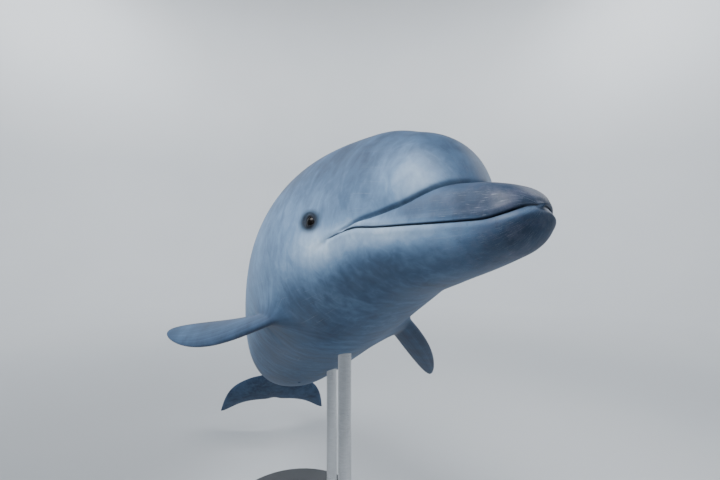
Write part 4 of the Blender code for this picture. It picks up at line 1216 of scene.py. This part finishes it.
def eyeball(node, side):
    """A ball with a low dome over the iris, looking out of the head."""
    low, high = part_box(node)
    centre = np.array((low + high) / 2)
    size = (high - low).z / 2
    s, phase = EYE_PLACE[0], side * EYE_PHASE
    _, normal = skin_surface(np.array([s]), np.array([phase]))
    here = straight_point(s, phase)
    gaze = Vector(unit(pose(here + normal[0] * .01) - pose(here)))
    tail = Vector(unit(pose(straight_point(s + .01, phase)) - pose(here)))
    tail = (tail - gaze * tail.dot(gaze)).normalized()
    up = gaze.cross(tail) * side
    rise, dome_angle = DOME
    bow, sink = PUPIL_BOW
    points = [gaze * size * (1 + rise)]
    off = [0.0]
    pupil = [0.0]
    for i in range(1, BALL_RINGS):
        polar = math.pi * i / BALL_RINGS
        lift = 1 + rise * math.exp(-(polar / dome_angle)**4)
        for j in range(BALL_SEGMENTS):
            turned = 2 * math.pi * j / BALL_SEGMENTS
            x, y = math.sin(polar) * math.cos(turned), math.sin(polar) * math.sin(turned)
            points.append((gaze * math.cos(polar) + tail * x + up * y) * size * lift)
            off.append(polar)
            pupil.append(math.hypot(x / PUPIL_HALF_SIZE[0], (y + bow * x * x + sink) / PUPIL_HALF_SIZE[1]))
    points.append(-gaze * size)
    off.append(math.pi)
    pupil.append(9.0)
    faces = []
    for j in range(BALL_SEGMENTS):
        n = (j + 1) % BALL_SEGMENTS
        faces.append((0, 1 + j, 1 + n))
        for i in range(BALL_RINGS - 2):
            a = 1 + i * BALL_SEGMENTS
            faces.append((a + j, a + BALL_SEGMENTS + j, a + BALL_SEGMENTS + n, a + n))
        a = 1 + (BALL_RINGS - 2) * BALL_SEGMENTS
        faces.append((a + j, len(points) - 1, a + n))
    name = node.replace("eye", "eyeball")
    mesh = bpy.data.meshes.new(name)
    mesh.from_pydata([tuple(p + Vector(centre)) for p in points], [], faces)
    for key, values in (("off_axis", off), ("pupil", pupil)):
        mesh.attributes.new(key, "FLOAT", "POINT").data.foreach_set("value", values)
    layer = mesh.uv_layers.new(name="OFBake")
    for loop in mesh.loops:
        i = (loop.vertex_index - 1) // BALL_SEGMENTS + 1
        j = (loop.vertex_index - 1) % BALL_SEGMENTS
        turned = 2 * math.pi * j / BALL_SEGMENTS
        reach = BALL_UNWRAP * min(i, BALL_RINGS) / BALL_RINGS
        layer.data[loop.index].uv = (.5 + reach * math.cos(turned), .5 + reach * math.sin(turned))
    mesh.shade_smooth()
    return new_object(name, mesh)


# ================================================================ stage

def floor():
    """A pale round floor that curves up into a wall on all sides, well away from the animal."""
    flat, bend, height = 6.0, 3.0, 12.0
    turned = np.linspace(0, math.pi / 2, 25)
    profile = [(0.5, 0.0), (2.0, 0.0), (4.0, 0.0)]
    profile += [(flat + bend * math.sin(a), bend * (1 - math.cos(a))) for a in turned]
    profile.append((flat + bend, height))
    sides = 96
    points = [(0.0, 0.0, 0.0)]
    faces = []
    for k, (r, z) in enumerate(profile):
        for j in range(sides):
            a = 2 * math.pi * j / sides
            points.append((r * math.cos(a), r * math.sin(a), z))
            here, after = 1 + k * sides + j, 1 + k * sides + (j + 1) % sides
            faces.append((here, after, after - sides, here - sides) if k else (0, here, after))
    mesh = bpy.data.meshes.new("floor")
    mesh.from_pydata(points, [], faces)
    mesh.shade_smooth()
    n = Nodes("floor")
    colour = n.mix(n.noise(.6, 2.0, n.place()), srgb(196, 201, 206), srgb(204, 208, 212))
    mesh.materials.append(n.finish(Base_Color=colour, Roughness=.8))
    new_object("floor", mesh)


def area_light(name, place, aim, size, power, spread=180):
    lamp = bpy.data.lights.new(name, "AREA")
    lamp.shape = "RECTANGLE"
    lamp.size, lamp.size_y = size
    lamp.energy = power
    lamp.spread = math.radians(spread)
    made = new_object(name, lamp)
    made.location = place
    made.rotation_euler = (Vector(aim) - Vector(place)).to_track_quat("-Z", "Y").to_euler()


def lights():
    """A pale blue surround, a key above the snout, a weak fill, and a lamp for each side of the wall."""
    world = bpy.data.worlds.new("studio")
    world.use_nodes = True
    surround = world.node_tree.nodes["Background"].inputs
    surround["Color"].default_value = srgb(206, 220, 234)
    surround["Strength"].default_value = WORLD_STRENGTH
    bpy.context.scene.world = world
    for name, lamp in LAMPS.items():
        area_light(name, *lamp)
    for i, power in enumerate(WALL_POWERS):
        way = Vector((math.sin(i * math.pi / 2), math.cos(i * math.pi / 2), 0))
        place, aim = [way * reach + Vector((0, 0, height)) for reach, height in (WALL_LAMP, WALL_AIM)]
        area_light(f"wall_{i}", place, aim, WALL_LAMP_SIZE, power)


def camera():
    """Level view from just ahead of the animal's right side, close to its snout."""
    lens = bpy.data.cameras.new("camera")
    lens.sensor_width = 36.0
    lens.lens = LENS
    lens.clip_start = 0.02
    made = new_object("camera", lens)
    made.location = Vector(TIP_PLACE) + Vector(CAMERA_OFFSET)
    made.rotation_euler = (math.pi / 2, 0, 0)
    bpy.context.scene.camera = made


# ================================================================ assembly

FLESH = ("beak_upper", "lower_jaw", "head", "chest", "trunk", "tail_stock", "fluke_left", "fluke_right",
         "flipper_left", "flipper_right", "dorsal_fin")


def main():
    skin = build_skin()
    skin.data.materials.append(skin_material())
    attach(skin, "root")
    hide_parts(*FLESH)

    ball_material = eye_material()
    for node, side in (("eye_left", 1), ("eye_right", -1)):
        ball = eyeball(node, side)
        ball.data.materials.append(ball_material)
        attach(ball, "root")
        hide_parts(node)

    steel = metal_material()
    paint = paint_material()
    for name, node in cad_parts.items():
        if name.startswith("stand_"):
            node.data.materials.clear()
            node.data.materials.append(paint if name == "stand_base" else steel)

    floor()
    lights()
    camera()


main()
